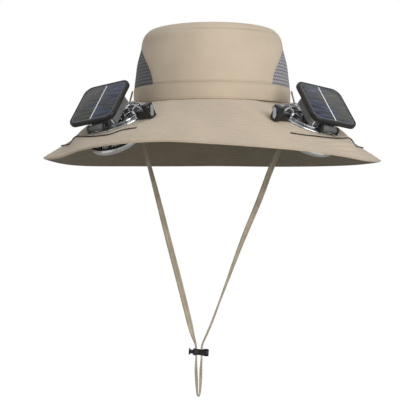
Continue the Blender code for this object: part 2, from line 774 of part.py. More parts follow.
def make_bracket(shop, unit, word, foot):
    """Two lugs on the flange with the hinge pin between them."""
    sideways = Matrix.Rotation(math.pi / 2, 4, "Y")
    inside = BARREL_LENGTH / 2 + GAP
    outside = inside + LUG_THICK
    stand = shop.empty(f"bracket_stand_{word}", foot, unit)
    pin = cylinder_mesh("pin", PIN_RADIUS, -outside + 0.0005, outside - 0.0005, 12, sideways)
    bracket = shop.part(f"hinge_bracket_{word}", pin, "plastic_black", stand)
    seat = GAP + FLANGE_THICK + GAP - HINGE_HEIGHT
    for sign in (-1, 1):
        low, high = sorted((sign * inside, sign * outside))
        eye = cylinder_mesh("lug_eye", LUG_RADIUS, low, high, 16, sideways)
        boolean(bracket, shop.tool(f"lug_eye_{word}_{sign}", eye, stand), "UNION")
        leg = box_mesh(
            "lug_leg", (LUG_THICK - 0.0002, 2 * LUG_RADIUS - 0.0002, -seat), ((low + high) / 2, 0.0, seat / 2)
        )
        boolean(bracket, shop.tool(f"lug_leg_{word}_{sign}", leg, stand), "UNION")


def seat_height(tree, frame, x, y, half_x, half_y):
    """The brim's highest point under a footprint, in a fan's own frame."""
    back = frame.inverted()
    down = -(frame.col[2].to_3d())
    heights = []
    for i in (-1, 0, 1):
        for j in (-1, 0, 1):
            start = frame @ Vector((x + i * half_x, y + j * half_y, 0.03))
            heights.append((back @ tree.ray_cast(start, down)[0]).z)
    return max(heights)


def make_side_box(shop, unit, word, tree):
    side = 1 if word == "right" else -1
    frame = fan_frame(side)
    x = side * BOX_ALONG
    seat = seat_height(tree, frame, x, BOX_OUT, BOX_WIDTH / 2, BOX_DEPTH / 2) + GAP
    shell = box_mesh(
        "box", (BOX_WIDTH, BOX_DEPTH, BOX_HEIGHT), (x, BOX_OUT, seat + BOX_HEIGHT / 2), bevel=0.0007, segments=1
    )
    box = shop.part(f"side_box_{word}", shell, "plastic_black", unit)
    depth, height = BOX_DEPTH - 0.0024, BOX_HEIGHT - 0.0040
    face = x + side * BOX_WIDTH / 2
    pocket = box_mesh("pocket", (2 * PLATE_THICK, depth, height), (face, BOX_OUT, seat + BOX_HEIGHT / 2))
    boolean(box, shop.tool(f"box_pocket_{word}", pocket, unit), "DIFFERENCE")
    plate = box_mesh(
        "plate",
        (PLATE_THICK, depth - 2 * GAP, height - 2 * GAP),
        (face - side * (PLATE_THICK / 2 - GAP), BOX_OUT, seat + BOX_HEIGHT / 2),
    )
    shop.part(f"side_plate_{word}", plate, "metal_silver", unit)

    near = FLANGE_RADIUS + GAP + 0.0006
    far = BOX_ALONG - BOX_WIDTH / 2 - GAP
    middle = side * (near + far) / 2
    seat = seat_height(tree, frame, middle, BOX_OUT, (far - near) / 2, ARM_DEPTH / 2) + GAP
    arm = box_mesh(
        "arm", (far - near, ARM_DEPTH, ARM_HEIGHT), (middle, BOX_OUT, seat + ARM_HEIGHT / 2), bevel=0.0008, segments=1
    )
    shop.part(f"side_arm_{word}", arm, "plastic_black", unit)


def make_fan_unit(shop, word, brim_tree):
    unit = shop.empty(f"fan_unit_{word}", fan_frame(1 if word == "right" else -1))
    make_flange(shop, unit, word)
    make_duct(shop, unit, word)
    ceiling = make_cage(shop, unit, word)
    make_motor(shop, unit, word, ceiling)
    make_impeller(shop, unit, word)
    make_panel(shop, unit, word)
    make_side_box(shop, unit, word, brim_tree)


# Chin strap and its lock


def strap_line(samples):
    """Evenly spaced points on a smooth curve through the route, each with its turn and width share."""
    route = [Vector(row[:3]) for row in STRAP_ROUTE]
    more = [row[3:] for row in STRAP_ROUTE]
    fine = []
    for i in range(len(route) - 1):
        p0, p1, p2, p3 = (route[min(max(k, 0), len(route) - 1)] for k in (i - 1, i, i + 1, i + 2))
        for k in range(12):
            u = k / 12
            point = 0.5 * (
                2 * p1
                + (p2 - p0) * u
                + (2 * p0 - 5 * p1 + 4 * p2 - p3) * u**2
                + (3 * p1 - p0 - 3 * p2 + p3) * u**3
            )
            blend = [a + (b - a) * u for a, b in zip(more[i], more[i + 1])]
            fine.append((point, *blend))
    fine.append((route[-1], *more[-1]))
    along = [0.0]
    for a, b in zip(fine, fine[1:]):
        along.append(along[-1] + (b[0] - a[0]).length)
    line, k = [], 0
    for i in range(samples):
        at = along[-1] * i / (samples - 1)
        while k < len(along) - 2 and along[k + 1] < at:
            k += 1
        u = (at - along[k]) / max(along[k + 1] - along[k], 1e-9)
        a, b = fine[k], fine[k + 1]
        line.append((a[0].lerp(b[0], u), a[1] + (b[1] - a[1]) * u, a[2] + (b[2] - a[2]) * u))
    return line


def make_strap(shop):
    line = strap_line(STRAP_POINTS)
    rows = []
    for i, (point, turn, share) in enumerate(line):
        run = (line[min(i + 1, len(line) - 1)][0] - line[max(i - 1, 0)][0]).normalized()
        across = Matrix.Rotation(math.radians(turn), 3, run) @ Vector((0.0, 1.0, 0.0))
        face = run.cross(across).normalized()
        half_wide, half_thick = STRAP_WIDTH * share / 2, STRAP_THICK / 2 / share**0.5
        corners = ((1, 1), (-1, 1), (-1, -1), (1, -1))
        rows.append([point + across * half_wide * a + face * half_thick * b for a, b in corners])
    bm = bmesh.new()
    grid = [[bm.verts.new(p) for p in row] for row in rows]
    for i in range(len(grid) - 1):
        for j in range(4):
            k = (j + 1) % 4
            bm.faces.new((grid[i][j], grid[i][k], grid[i + 1][k], grid[i + 1][j]))
    bm.faces.new(grid[0])
    bm.faces.new(grid[-1])
    shop.part("chin_strap", finished_mesh(bm, "chin_strap"), "strap_tan")


def lock_barrel(name, profile, low, high):
    """A turned barrel along x, deeper than it is tall."""
    rings = []
    for share, radius in profile:
        x = low + (high - low) * share
        ring = []
        for i in range(16):
            turn = 2 * math.pi * (i + 0.5) / 16
            r = LOCK_RADIUS * radius
            ring.append(Vector((x, r * LOCK_DEPTH_SHARE * math.cos(turn), r * math.sin(turn))))
        rings.append(ring)
    bm = bmesh.new()
    grid = [[bm.verts.new(p) for p in ring] for ring in rings]
    for i in range(len(grid) - 1):
        for j in range(16):
            k = (j + 1) % 16
            bm.faces.new((grid[i][j], grid[i][k], grid[i + 1][k], grid[i + 1][j]))
    bm.faces.new(grid[0])
    bm.faces.new(grid[-1])
    return finished_mesh(bm, name)


def make_lock(shop):
    place = Matrix.Translation(LOCK_CENTRE) @ Matrix.Rotation(LOCK_TILT, 4, "Y")
    stand = shop.empty("cord_lock", place)
    body = shop.part("lock_body", lock_barrel("lock_body", LOCK_PROFILE, *LOCK_BODY), "plastic_black", stand)
    start, end = LOCK_BODY[0] - 0.001, STEM_END + PRESS + 3 * GAP
    bore = box_mesh(
        "bore", (end - start, STEM_DEPTH + 2 * GAP, STEM_HEIGHT + 2 * GAP), ((start + end) / 2, 0.0, 0.0)
    )
    boolean(body, shop.tool("lock_bore", bore, stand), "DIFFERENCE")
    wide = LOCK_HOLE[1] - LOCK_HOLE[0]
    middle = sum(LOCK_HOLE) / 2
    hole = box_mesh("hole", (wide, LOCK_HOLE_DEPTH, 2 * CUT_REACH), (middle, 0.0, 0.0))
    boolean(body, shop.tool("lock_hole", hole, stand), "DIFFERENCE")

    head = lock_barrel("lock_plunger", HEAD_PROFILE, *LOCK_HEAD)
    plunger = shop.part("lock_plunger", head, "plastic_black", stand)
    low = LOCK_HEAD[1] - 0.0005
    stem = box_mesh("stem", (STEM_END - low, STEM_DEPTH, STEM_HEIGHT), ((STEM_END + low) / 2, 0.0, 0.0))
    boolean(plunger, shop.tool("lock_stem", stem, stand), "UNION")
    high = STEM_SLOT_START + wide + PRESS - GAP
    slot = box_mesh(
        "slot", (high - STEM_SLOT_START, LOCK_HOLE_DEPTH, 2 * CUT_REACH), ((high + STEM_SLOT_START) / 2, 0.0, 0.0)
    )
    boolean(plunger, shop.tool("lock_slot", slot, stand), "DIFFERENCE")


def main():
    clear_scene()
    shop = Shop()
    make_crown(shop)
    brim = make_brim(shop)
    brim_tree = surface_of(brim)
    make_piping(shop, brim_tree)
    for word in ("left", "right"):
        make_fan_unit(shop, word, brim_tree)
    make_strap(shop)
    make_lock(shop)


main()
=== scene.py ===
"""Looks of the solar fan hat: cloth, mesh, moulded plastic, plated metal and the chin strap."""

from math import atan2, copysign, cos, degrees, hypot, pi, radians, sin, sqrt

import bmesh
import bpy
from mathutils import Matrix, Vector


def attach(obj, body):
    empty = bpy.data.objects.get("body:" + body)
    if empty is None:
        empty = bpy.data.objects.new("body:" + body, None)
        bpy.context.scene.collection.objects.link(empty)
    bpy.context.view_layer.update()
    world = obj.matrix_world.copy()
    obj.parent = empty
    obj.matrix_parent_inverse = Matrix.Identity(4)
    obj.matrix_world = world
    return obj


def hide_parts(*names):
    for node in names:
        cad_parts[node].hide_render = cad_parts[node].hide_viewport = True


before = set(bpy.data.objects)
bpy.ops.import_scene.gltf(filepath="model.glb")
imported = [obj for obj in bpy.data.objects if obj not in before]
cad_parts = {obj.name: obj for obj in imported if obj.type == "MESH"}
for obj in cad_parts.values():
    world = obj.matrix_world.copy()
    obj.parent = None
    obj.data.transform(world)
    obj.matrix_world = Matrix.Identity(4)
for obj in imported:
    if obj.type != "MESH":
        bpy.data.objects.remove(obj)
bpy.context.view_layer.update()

# Sizes shared with the part, in metres
GAP = 0.0003
CLOTH_THICK = 0.0016
BAND_THICK = 0.0020
BRIM_THICK = 0.0022
CROWN_HALF_WIDTH = 0.0856
CROWN_HALF_DEPTH = 0.1020
CROWN_HEIGHT = 0.0820
BAND_HEIGHT = 0.0170
TOP_SEAM_HEIGHT = 0.0745
TOP_DOME = 0.0012
MESH_RISE = 0.0468
MESH_HALF_ANGLE = radians(43.0)
MESH_ARCH_POWER = 1.6
# Pairs of share of the height, share of the width
CROWN_SECTIONS = (
    (0.000, 1.000), (0.207, 1.001), (0.390, 0.982), (0.537, 0.964), (0.689, 0.928), (0.780, 0.905),
    (0.841, 0.891), (0.911, 0.868), (0.951, 0.837), (0.982, 0.801), (1.000, 0.750),
)
BRIM_HALF_WIDTH = 0.1840
BRIM_HALF_DEPTH = 0.1980
BRIM_DROP = 0.0620
BRIM_CURVE = 1.06
# Pairs of bearing in degrees, share of the brim's drop
BRIM_EDGE = (
    (-150, 0.968), (-120, 0.984), (-90, 0.919), (-60, 0.952), (-45, 0.839), (-30, 0.766),
    (-15, 0.742), (0, 0.782), (15, 0.831), (30, 0.882), (45, 0.948), (60, 1.000),
    (90, 0.968), (120, 0.984), (150, 0.976), (180, 0.952),
)
FLAT_MARGIN = 0.0075
FLAT_FADE = 0.0140
FAN_ANGLE = radians(42.0)
FAN_REACH = 0.1280
FAN_SLOPE = radians(28.3)
FLANGE_RADIUS = 0.0360
SKIRT_RADIUS = 0.0300
SKIRT_WALL = 0.0015
SKIRT_DEPTH = 0.0040
FLANGE_THICK = 0.0015
DUCT_DROP = 0.0016
DUCT_RADIUS = 0.0335
DUCT_WALL = 0.0020
DUCT_LENGTH = 0.0166
DUCT_SHIFT = (-0.0085, 0.0090)
DUCT_LEAN = (radians(10.0), radians(7.0))
DUCT_WINDOWS = 16
DUCT_SECTIONS = ((0.00, 1.00), (0.16, 0.99), (0.62, 0.935), (0.70, 0.925))
BEZEL_SECTIONS = ((0.765, 0.922), (0.82, 0.915), (1.00, 0.820))
CAGE_WALL = 0.0014
CAGE_RIBS = 12
FAN_RADIUS = 0.0262
FAN_BLADES = 7
FAN_TOP = -0.0010
FAN_HEIGHT = 0.0070
BLADE_PITCH = radians(38.0)
BLADE_THICK = 0.0012
HUB_RADIUS = 0.0085
MOTOR_RADIUS = 0.0062
SHAFT_RADIUS = 0.0012
PANEL_SIDE = 0.0580
PANEL_THICK = 0.0050
PANEL_CORNER = 0.0100
PANEL_BORDER = 0.0028
PANEL_RECESS = 0.0014
PANEL_TURN = radians(16.3)
PANEL_TILT = radians(19.5)
PANEL_CENTRE_ALONG = -0.0061
PANEL_CENTRE_UP = 0.0304
HINGE_TO_PANEL = 0.0067
CASE_WIDTH = 0.0310
CASE_LENGTH = 0.0340
CASE_THICK = 0.0072
CASE_ALONG = 0.0065
CASE_CORNER = 0.0022
HINGE_ALONG = -0.0060
HINGE_OUT = 0.0337
HINGE_HEIGHT = 0.0060
BARREL_RADIUS = 0.0034
BARREL_LENGTH = 0.0170
PIN_RADIUS = 0.0009
LUG_RADIUS = 0.0036
LUG_THICK = 0.0026
PLATE_THICK = 0.0010
PIPING_SHARE = 0.205
PIPING_WIDTH = 0.0016
PIPING_HEIGHT = 0.0010
PIPING_FROM = radians(8.0)
PIPING_TO = radians(63.0)
# Rows of radius, height above the flange, shift, lean
CAGE_SECTIONS = (
    (0.0295, 0.0014, 0.0000, 0.00),
    (0.0266, 0.0016, 0.0000, 0.00),
    (0.0225, 0.0042, 0.0014, 0.07),
    (0.0150, 0.0068, 0.0030, 0.12),
    (0.0100, 0.0074, 0.0020, 0.00),
)
STRAP_WIDTH = 0.0065
STRAP_THICK = 0.0016
STRAP_SLIT = (0.0050, 0.0120)
STRAP_SLIT_OUT = 0.0911
# Rows of x, z, turn in degrees, share of the width
STRAP_ROUTE = (
    (-0.0874, 0.0160, 0, 1.00),
    (-0.0886, 0.0110, 0, 1.00),
    (-0.0906, 0.0030, 0, 1.00),
    (-0.0912, -0.0060, 0, 1.00),
    (-0.0868, -0.0200, 8, 1.00),
    (-0.0775, -0.0380, 20, 1.00),
    (-0.0700, -0.0620, 35, 1.00),
    (-0.0590, -0.1035, 55, 1.00),
    (-0.0478, -0.1478, 80, 1.00),
    (-0.0363, -0.1918, 90, 1.00),
    (-0.0253, -0.2358, 80, 0.95),
    (-0.0212, -0.2520, 45, 0.80),
    (-0.0178, -0.2632, 5, 0.62),
    (-0.0173, -0.2760, 0, 0.62),
    (-0.0176, -0.2880, 25, 0.75),
    (-0.0171, -0.3010, 28, 0.75),
    (-0.0166, -0.3110, 15, 0.75),
    (-0.0160, -0.3172, 3, 0.75),
    (-0.0148, -0.3194, 0, 0.75),
    (-0.0136, -0.3172, -3, 0.75),
    (-0.0130, -0.3110, -15, 0.75),
    (-0.0125, -0.3010, -28, 0.75),
    (-0.0121, -0.2880, -25, 0.75),
    (-0.0114, -0.2760, 0, 0.62),
    (-0.0109, -0.2632, -5, 0.62),
    (-0.0062, -0.2520, -12, 0.80),
    (0.0006, -0.2358, -15, 0.95),
    (0.0088, -0.2138, -10, 1.00),
    (0.0170, -0.1918, -22, 1.00),
    (0.0335, -0.1478, -50, 1.00),
    (0.0517, -0.1039, -80, 1.00),
    (0.0649, -0.0687, -85, 1.00),
    (0.0800, -0.0330, -45, 1.00),
    (0.0880, -0.0140, -10, 1.00),
    (0.0912, -0.0060, 0, 1.00),
    (0.0906, 0.0030, 0, 1.00),
    (0.0886, 0.0110, 0, 1.00),
    (0.0874, 0.0160, 0, 1.00),
)

# Looks, in metres unless named otherwise
MM = 1000.0
BRIM_STITCH_ROWS = 19
BRIM_PUFF = 0.00026
WALL_PUFF = 0.00036
WALL_PUFF_HEIGHT = 0.010
BAND_PUFF = 0.00018
SEAM_GAP = 0.00005
STITCH_MM = 3.0
SEAM_STITCH_MM = 1.6
ARCH_STITCH_MM = 2.2
WALL_TOP_STITCH_MM = 0.4
CAP_STITCH_MM = 9.5
WEAVE_MM = 0.55
NET_PITCH_MM = 4.2
NET_STRIPE_MM = 3.7
NET_THICK = 0.0008
NET_INSET = 0.0004
STRIP_MARGIN = 0.001
RIM_WIDTH = 0.0006
RIM_HEIGHT = 0.00012
FILTER_THICK = 0.0004
GRILLE_THICK = 0.0011
BEZEL_TOP = 0.715
SHARP_ANGLE = radians(50)
CROWN_STEPS = 180
RING_STEPS = 96
STRAP_STEPS = 300
STRAP_SIDES = 16
NO_CAPS = (False, False)

# The camera stands level in front of the hat, left of its middle
CAMERA_PLACE = (-0.0132, -1.4000, -0.1033)
CAMERA_LENS = 114.6
FLOOR_HEIGHT = -0.62
WORLD_ABOVE = 0.50
WORLD_BELOW = 0.08
KEY_POWER = 44.0
TOP_POWER = 5.0
FLOOR_GLOW = 0.78
FLOOR_SIZE = 60.0
FILL_POWER = 3.5
LOW_POWER = 5.0
BELOW_POWER = 0.45


# Shared shapes


def table_value(table, at):
    """A smooth value between the rows of a two column table."""
    if at <= table[0][0]:
        return table[0][1]
    for i in range(len(table) - 1):
        x0, y0 = table[i]
        x1, y1 = table[i + 1]
        if at <= x1:
            before = table[max(i - 1, 0)]
            after = table[min(i + 2, len(table) - 1)]
            slope0 = (y1 - before[1]) / max(x1 - before[0], 1e-9)
            slope1 = (after[1] - y0) / max(after[0] - x0, 1e-9)
            h, u = x1 - x0, (at - x0) / (x1 - x0)
            return (
                (2 * u**3 - 3 * u**2 + 1) * y0
                + (u**3 - 2 * u**2 + u) * h * slope0
                + (3 * u**2 - 2 * u**3) * y1
                + (u**3 - u**2) * h * slope1
            )
    return table[-1][1]


def crown_point(angle, height, inset=0.0):
    share = table_value(CROWN_SECTIONS, height / CROWN_HEIGHT)
    return Vector((
        (CROWN_HALF_WIDTH * share - inset) * cos(angle),
        (CROWN_HALF_DEPTH * share - inset) * sin(angle),
        height,
    ))


def arch_height(angle, grow=0.0):
    half = MESH_HALF_ANGLE + grow / CROWN_HALF_WIDTH
    reach = abs(angle) / half
    if reach >= 1.0:
        return 0.0
    return (MESH_RISE + grow) * (1.0 - reach**MESH_ARCH_POWER) ** (1.0 / MESH_ARCH_POWER)


def arch_angles(grow, columns):
    half = MESH_HALF_ANGLE + grow / CROWN_HALF_WIDTH
    steps = [pi * i / columns for i in range(columns + 1)]
    return [-half * copysign(abs(cos(s)) ** (2.0 / MESH_ARCH_POWER), cos(s)) for s in steps]


def folded(angle):
    return (angle + pi / 2) % pi - pi / 2


def edge_drop(angle):
    bearing = (degrees(angle) + 90.0 + 180.0) % 360.0 - 180.0
    first, last = BRIM_EDGE[0], BRIM_EDGE[-1]
    table = ((last[0] - 360, last[1]), *BRIM_EDGE, (first[0] + 360, first[1]))
    return BRIM_DROP * table_value(table, bearing)


def brim_reach(x, y):
    low, high = -0.5, 2.0
    for _ in range(30):
        share = (low + high) / 2
        half_x = CROWN_HALF_WIDTH + (BRIM_HALF_WIDTH - CROWN_HALF_WIDTH) * share
        half_y = CROWN_HALF_DEPTH + (BRIM_HALF_DEPTH - CROWN_HALF_DEPTH) * share
        if (x / half_x) ** 2 + (y / half_y) ** 2 > 1.0:
            low = share
        else:
            high = share
    return share, atan2(y / half_y, x / half_x)


def brim_height(x, y):
    share, angle = brim_reach(x, y)
    return -edge_drop(angle) * max(share, 0.0) ** BRIM_CURVE


def fan_frame(side):
    out = Vector((side * cos(FAN_ANGLE), -sin(FAN_ANGLE), 0.0))
    middle = out * FAN_REACH
    middle.z = brim_height(middle.x, middle.y)
    down = out * cos(FAN_SLOPE) - Vector((0.0, 0.0, sin(FAN_SLOPE)))
    normal = out * sin(FAN_SLOPE) + Vector((0.0, 0.0, cos(FAN_SLOPE)))
    matrix = Matrix((down.cross(normal), down, normal)).transposed().to_4x4()
    matrix.translation = middle
    return matrix


FAN_FRAMES = {-1: fan_frame(-1), 1: fan_frame(1)}


def smooth_step(value):
    value = min(max(value, 0.0), 1.0)
    return value * value * (3.0 - 2.0 * value)


def brim_point(x, y):
    height = brim_height(x, y)
    for place in FAN_FRAMES.values():
        normal = place.col[2].to_3d()
        middle = place.translation
        away = hypot(x - middle.x, y - middle.y)
        level = middle.z - (normal.x * (x - middle.x) + normal.y * (y - middle.y)) / normal.z
        flat = 1.0 - smooth_step((away - FLANGE_RADIUS - FLAT_MARGIN) / FLAT_FADE)
        height += (min(level, 0.0) - height) * flat
    return Vector((x, y, height))


# Camera, floor and light


def add_object(name, data):
    obj = bpy.data.objects.new(name, data)
    bpy.context.scene.collection.objects.link(obj)
    return obj


def finish_mesh(bm, name):
    mesh = bpy.data.meshes.new(name)
    bm.to_mesh(mesh)
    bm.free()
    return mesh


def make_camera():
    data = bpy.data.cameras.new("camera")
    data.lens = CAMERA_LENS
    data.clip_end = 100.0
    camera = add_object("camera", data)
    camera.location = CAMERA_PLACE
    camera.rotation_euler = (radians(90), 0.0, 0.0)
    bpy.context.scene.camera = camera


def area_light(name, place, target, size, power, colour=(1.0, 1.0, 1.0)):
    data = bpy.data.lights.new(name, "AREA")
    data.shape = "DISK"
    data.size = size
    data.energy = power
    data.color = colour
    light = add_object(name, data)
    light.location = place
    light.visible_camera = False
    light.rotation_euler = (Vector(target) - Vector(place)).to_track_quat("-Z", "Y").to_euler()


def make_stage():
    bm = bmesh.new()
    bmesh.ops.create_grid(bm, x_segments=1, y_segments=1, size=FLOOR_SIZE)
    floor = add_object("floor", finish_mesh(bm, "floor"))
    floor.location.z = FLOOR_HEIGHT
    material, tree, shader = new_material("floor_white", 0.9)
    shader.inputs["Base Color"].default_value = (0.42, 0.42, 0.42, 1.0)
    shader.inputs["Emission Color"].default_value = (1.0, 1.0, 1.0, 1.0)
    ray = node(tree, "ShaderNodeLightPath").outputs["Is Camera Ray"]
    tree.links.new(maths(tree, "MULTIPLY", ray, FLOOR_GLOW), shader.inputs["Emission Strength"])
    floor.data.materials.append(material)

    world = bpy.data.worlds.new("studio")
    world.use_nodes = True
    tree = world.node_tree
    ray = node(tree, "ShaderNodeLightPath").outputs["Is Camera Ray"]
    direction = node(tree, "ShaderNodeTexCoord").outputs["Generated"]
    height = node(tree, "ShaderNodeSeparateXYZ", {"Vector": direction}).outputs["Z"]
    lit = ramp(tree, height, -0.35, 0.30, WORLD_BELOW, WORLD_ABOVE)
    strength = mixed(tree, ray, lit, (1.0, 1.0, 1.0, 1.0))
    sky = tree.nodes["Background"]
    tree.links.new(strength, sky.inputs["Color"])
    sky.inputs["Strength"].default_value = 1.0
    bpy.context.scene.world = world
    bpy.context.scene.view_settings.view_transform = "Standard"
    area_light("key", (1.35, -2.2, 0.55), (0.0, 0.0, -0.05), 1.8, KEY_POWER, (1.0, 0.99, 0.975))
    area_light("top", (0.2, -0.4, 2.2), (0.0, 0.0, 0.0), 1.6, TOP_POWER)
    area_light("fill", (-1.7, -1.5, 0.1), (0.0, 0.0, 0.0), 1.6, FILL_POWER)
    area_light("low", (0.0, -1.9, -1.3), (0.0, -0.1, -0.05), 1.0, LOW_POWER)
    for side in (-1, 1):
        area_light("below", (side * 0.46, -0.34, -0.57), (side * 0.1, -0.1, -0.08), 0.8, BELOW_POWER)


# Material building


def node(tree, kind, inputs=None, **settings):
    made = tree.nodes.new(kind)
    for name, value in settings.items():
        setattr(made, name, value)
    for key, value in (inputs or {}).items():
        if isinstance(value, bpy.types.NodeSocket):
            tree.links.new(value, made.inputs[key])
        else:
            made.inputs[key].default_value = value
    return made


def maths(tree, operation, first, second=0.0, third=0.0):
    return node(tree, "ShaderNodeMath", {0: first, 1: second, 2: third}, operation=operation).outputs[0]


def times(tree, first, second):
    return maths(tree, "MULTIPLY", first, second)


def wave(tree, value, length):
    """A sine wave over a value, with the length of one wave in the value's units."""
    return maths(tree, "SINE", times(tree, value, 2 * pi / length))


def ramp(tree, value, low, high, out_low=0.0, out_high=1.0):
    """A smooth step of a value from low to high."""
    made = node(
        tree,
        "ShaderNodeMapRange",
        {"Value": value, "From Min": low, "From Max": high, "To Min": out_low, "To Max": out_high},
        interpolation_type="SMOOTHSTEP",
    )
    return made.outputs[0]


def mixed(tree, factor, first, second):
    made = node(tree, "ShaderNodeMix", data_type="RGBA")
    for key, value in ((0, factor), (6, first), (7, second)):
        if isinstance(value, bpy.types.NodeSocket):
            tree.links.new(value, made.inputs[key])
        else:
            made.inputs[key].default_value = value
    return made.outputs[2]


def noise(tree, scale, detail, vector):
    inputs = {"Vector": vector, "Scale": scale, "Detail": detail}
    return node(tree, "ShaderNodeTexNoise", inputs).outputs["Fac"]


def srgb(red, green, blue):
    """A linear colour from 8 bit values."""
    channels = []
    for value in (red, green, blue):
        value /= 255.0
        channels.append(value / 12.92 if value <= 0.04045 else ((value + 0.055) / 1.055) ** 2.4)
    return (*channels, 1.0)


def shaded(colour, factor, lift=0.0):
    """A colour made darker or lighter."""
    return (*(min(c * factor + lift, 1.0) for c in colour[:3]), 1.0)


def new_material(name, roughness, metallic=0.0, **sockets):
    material = bpy.data.materials.new(name)
    material.use_nodes = True
    tree = material.node_tree
    shader = tree.nodes["Principled BSDF"]
    shader.inputs["Roughness"].default_value = roughness
    shader.inputs["Metallic"].default_value = metallic
    for key, value in sockets.items():
        shader.inputs[key.replace("_", " ")].default_value = value
    return material, tree, shader


def dressed(material, base, height, strength, distance, roughness=None, invert=False):
    """The material with a colour, a relief and, where it is given, a roughness joined to its shader."""
    tree = material.node_tree
    shader = tree.nodes["Principled BSDF"]
    inputs = {"Height": height, "Strength": strength, "Distance": distance}
    bump = node(tree, "ShaderNodeBump", inputs, invert=invert)
    tree.links.new(base, shader.inputs["Base Color"])
    tree.links.new(bump.outputs[0], shader.inputs["Normal"])
    if roughness is not None:
        tree.links.new(roughness, shader.inputs["Roughness"])
    return material


def uv_parts(tree):
    """The cloth's own coordinates in millimetres: along the seams and across them."""
    uv = node(tree, "ShaderNodeUVMap", uv_map="cloth").outputs["UV"]
    split = node(tree, "ShaderNodeSeparateXYZ", {"Vector": uv})
    return uv, split.outputs["X"], split.outputs["Y"]


def object_space(tree):
    return node(tree, "ShaderNodeTexCoord").outputs["Object"]


def weave_height(tree, along, across, pitch):
    """Height of a plain weave, threads pitch millimetres apart."""
    threads = times(tree, wave(tree, along, 2 * pitch), wave(tree, across, 2 * pitch))
    return maths(tree, "MULTIPLY_ADD", threads, 0.5, 0.5)


def stitch_masks(tree, along, offset):
    """Groove and thread masks of a stitched line; offset is the distance from the line in millimetres."""
    away = maths(tree, "ABSOLUTE", offset)
    groove = ramp(tree, away, 0.25, 1.3, 1.0, 0.0)
    dash = maths(tree, "FRACT", maths(tree, "DIVIDE", along, STITCH_MM))
    from_middle = maths(tree, "ABSOLUTE", maths(tree, "SUBTRACT", dash, 0.5))
    in_dash = maths(tree, "LESS_THAN", from_middle, 0.38)
    line = ramp(tree, away, 0.30, 0.50, 1.0, 0.0)
    return groove, times(tree, line, in_dash)


def cloth_material(name, colour, lines, groove_shade=0.16):
    """Brushed cotton with painted shade in its stitch grooves; lines(tree, u, v) gives the signed distances
    from its stitched lines.
    """
    material, tree, _ = new_material(name, 0.88, Sheen_Weight=0.25, Sheen_Roughness=0.45)
    _, along, across = uv_parts(tree)
    weave = weave_height(tree, along, across, WEAVE_MM)
    space = object_space(tree)
    blotch = noise(tree, 22.0, 4.0, space)
    fluff = noise(tree, 900.0, 2.0, space)
    masks = [stitch_masks(tree, along, offset) for offset in lines(tree, along, across)]
    groove, thread = masks[0]
    for more_groove, more_thread in masks[1:]:
        groove = maths(tree, "MAXIMUM", groove, more_groove)
        thread = maths(tree, "MAXIMUM", thread, more_thread)
    dark, light = shaded(colour, 0.80), shaded(colour, 1.10)
    base = mixed(tree, ramp(tree, blotch, 0.35, 0.65), dark, light)
    base = mixed(tree, 0.72, base, colour)
    base = mixed(tree, times(tree, weave, 0.14), base, dark)
    # Painted shade: the cloth is darkened in its stitch grooves.
    base = mixed(tree, times(tree, groove, groove_shade), base, shaded(colour, 0.5))
    base = mixed(tree, times(tree, thread, 0.4), base, light)
    height = times(tree, weave, 0.10)
    height = maths(tree, "MULTIPLY_ADD", fluff, 0.10, height)
    height = maths(tree, "MULTIPLY_ADD", groove, -0.45, height)
    height = maths(tree, "MULTIPLY_ADD", thread, 0.30, height)
    return dressed(material, base, height, 0.7, 0.0009)


def attribute(tree, name):
    return node(tree, "ShaderNodeAttribute", attribute_name=name, attribute_type="GEOMETRY").outputs["Fac"]


# Mesh building


def link(name, mesh, material, replaces=(), body="hat"):
    obj = add_object(name, mesh)
    mesh.materials.append(material)
    mesh.shade_smooth()
    mesh.set_sharp_from_angle(angle=SHARP_ANGLE)
    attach(obj, body)
    if replaces:
        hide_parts(*replaces)
    return obj


def cloth_mesh(name, rows, coords, closed, marks=None):
    """A sheet through rows of points with its cloth coordinates; a closed one joins at its last column.

    coords holds (u, v) in millimetres for each point, with one column more than the points when closed.
    marks maps an attribute name to rows of values.
    """
    bm = bmesh.new()
    uv = bm.loops.layers.uv.new("cloth")
    layers = {key: bm.verts.layers.float.new(key) for key in marks or {}}
    grid = [[bm.verts.new(p) for p in row] for row in rows]
    columns = len(rows[0])
    for i in range(len(rows) - 1):
        for j in range(columns if closed else columns - 1):
            k = (j + 1) % columns
            face = bm.faces.new((grid[i][j], grid[i][k], grid[i + 1][k], grid[i + 1][j]))
            corners = ((i, j), (i, j + 1), (i + 1, j + 1), (i + 1, j))
            for loop, (a, b) in zip(face.loops, corners):
                loop[uv].uv = coords[a][b]
    for key, values in (marks or {}).items():
        layer = layers[key]
        for row, marked in zip(grid, values):
            for vert, value in zip(row, marked):
                vert[layer] = value
    return finish_mesh(bm, name)


def ring_coords(radius, across, columns):
    """Cloth coordinates round a closed row, from its radius and its place across in millimetres."""
    return [(radius * 2 * pi * j / columns, across) for j in range(columns + 1)]


def thicken(obj, thickness, inner=None):
    """Gives a sheet its thickness; an inner material dresses the side that it grows on."""
    modifier = obj.modifiers.new("wall", "SOLIDIFY")
    modifier.thickness = thickness
    modifier.offset = -1.0
    modifier.use_even_offset = True
    if inner is not None:
        obj.data.materials.append(inner)
        modifier.material_offset = 1


def apply_modifiers(obj):
    graph = bpy.context.evaluated_depsgraph_get()
    graph.update()
    built = obj.evaluated_get(graph)
    mesh = bpy.data.meshes.new_from_object(built, preserve_all_data_layers=True, depsgraph=graph)
    obj.modifiers.clear()
    obj.data = mesh


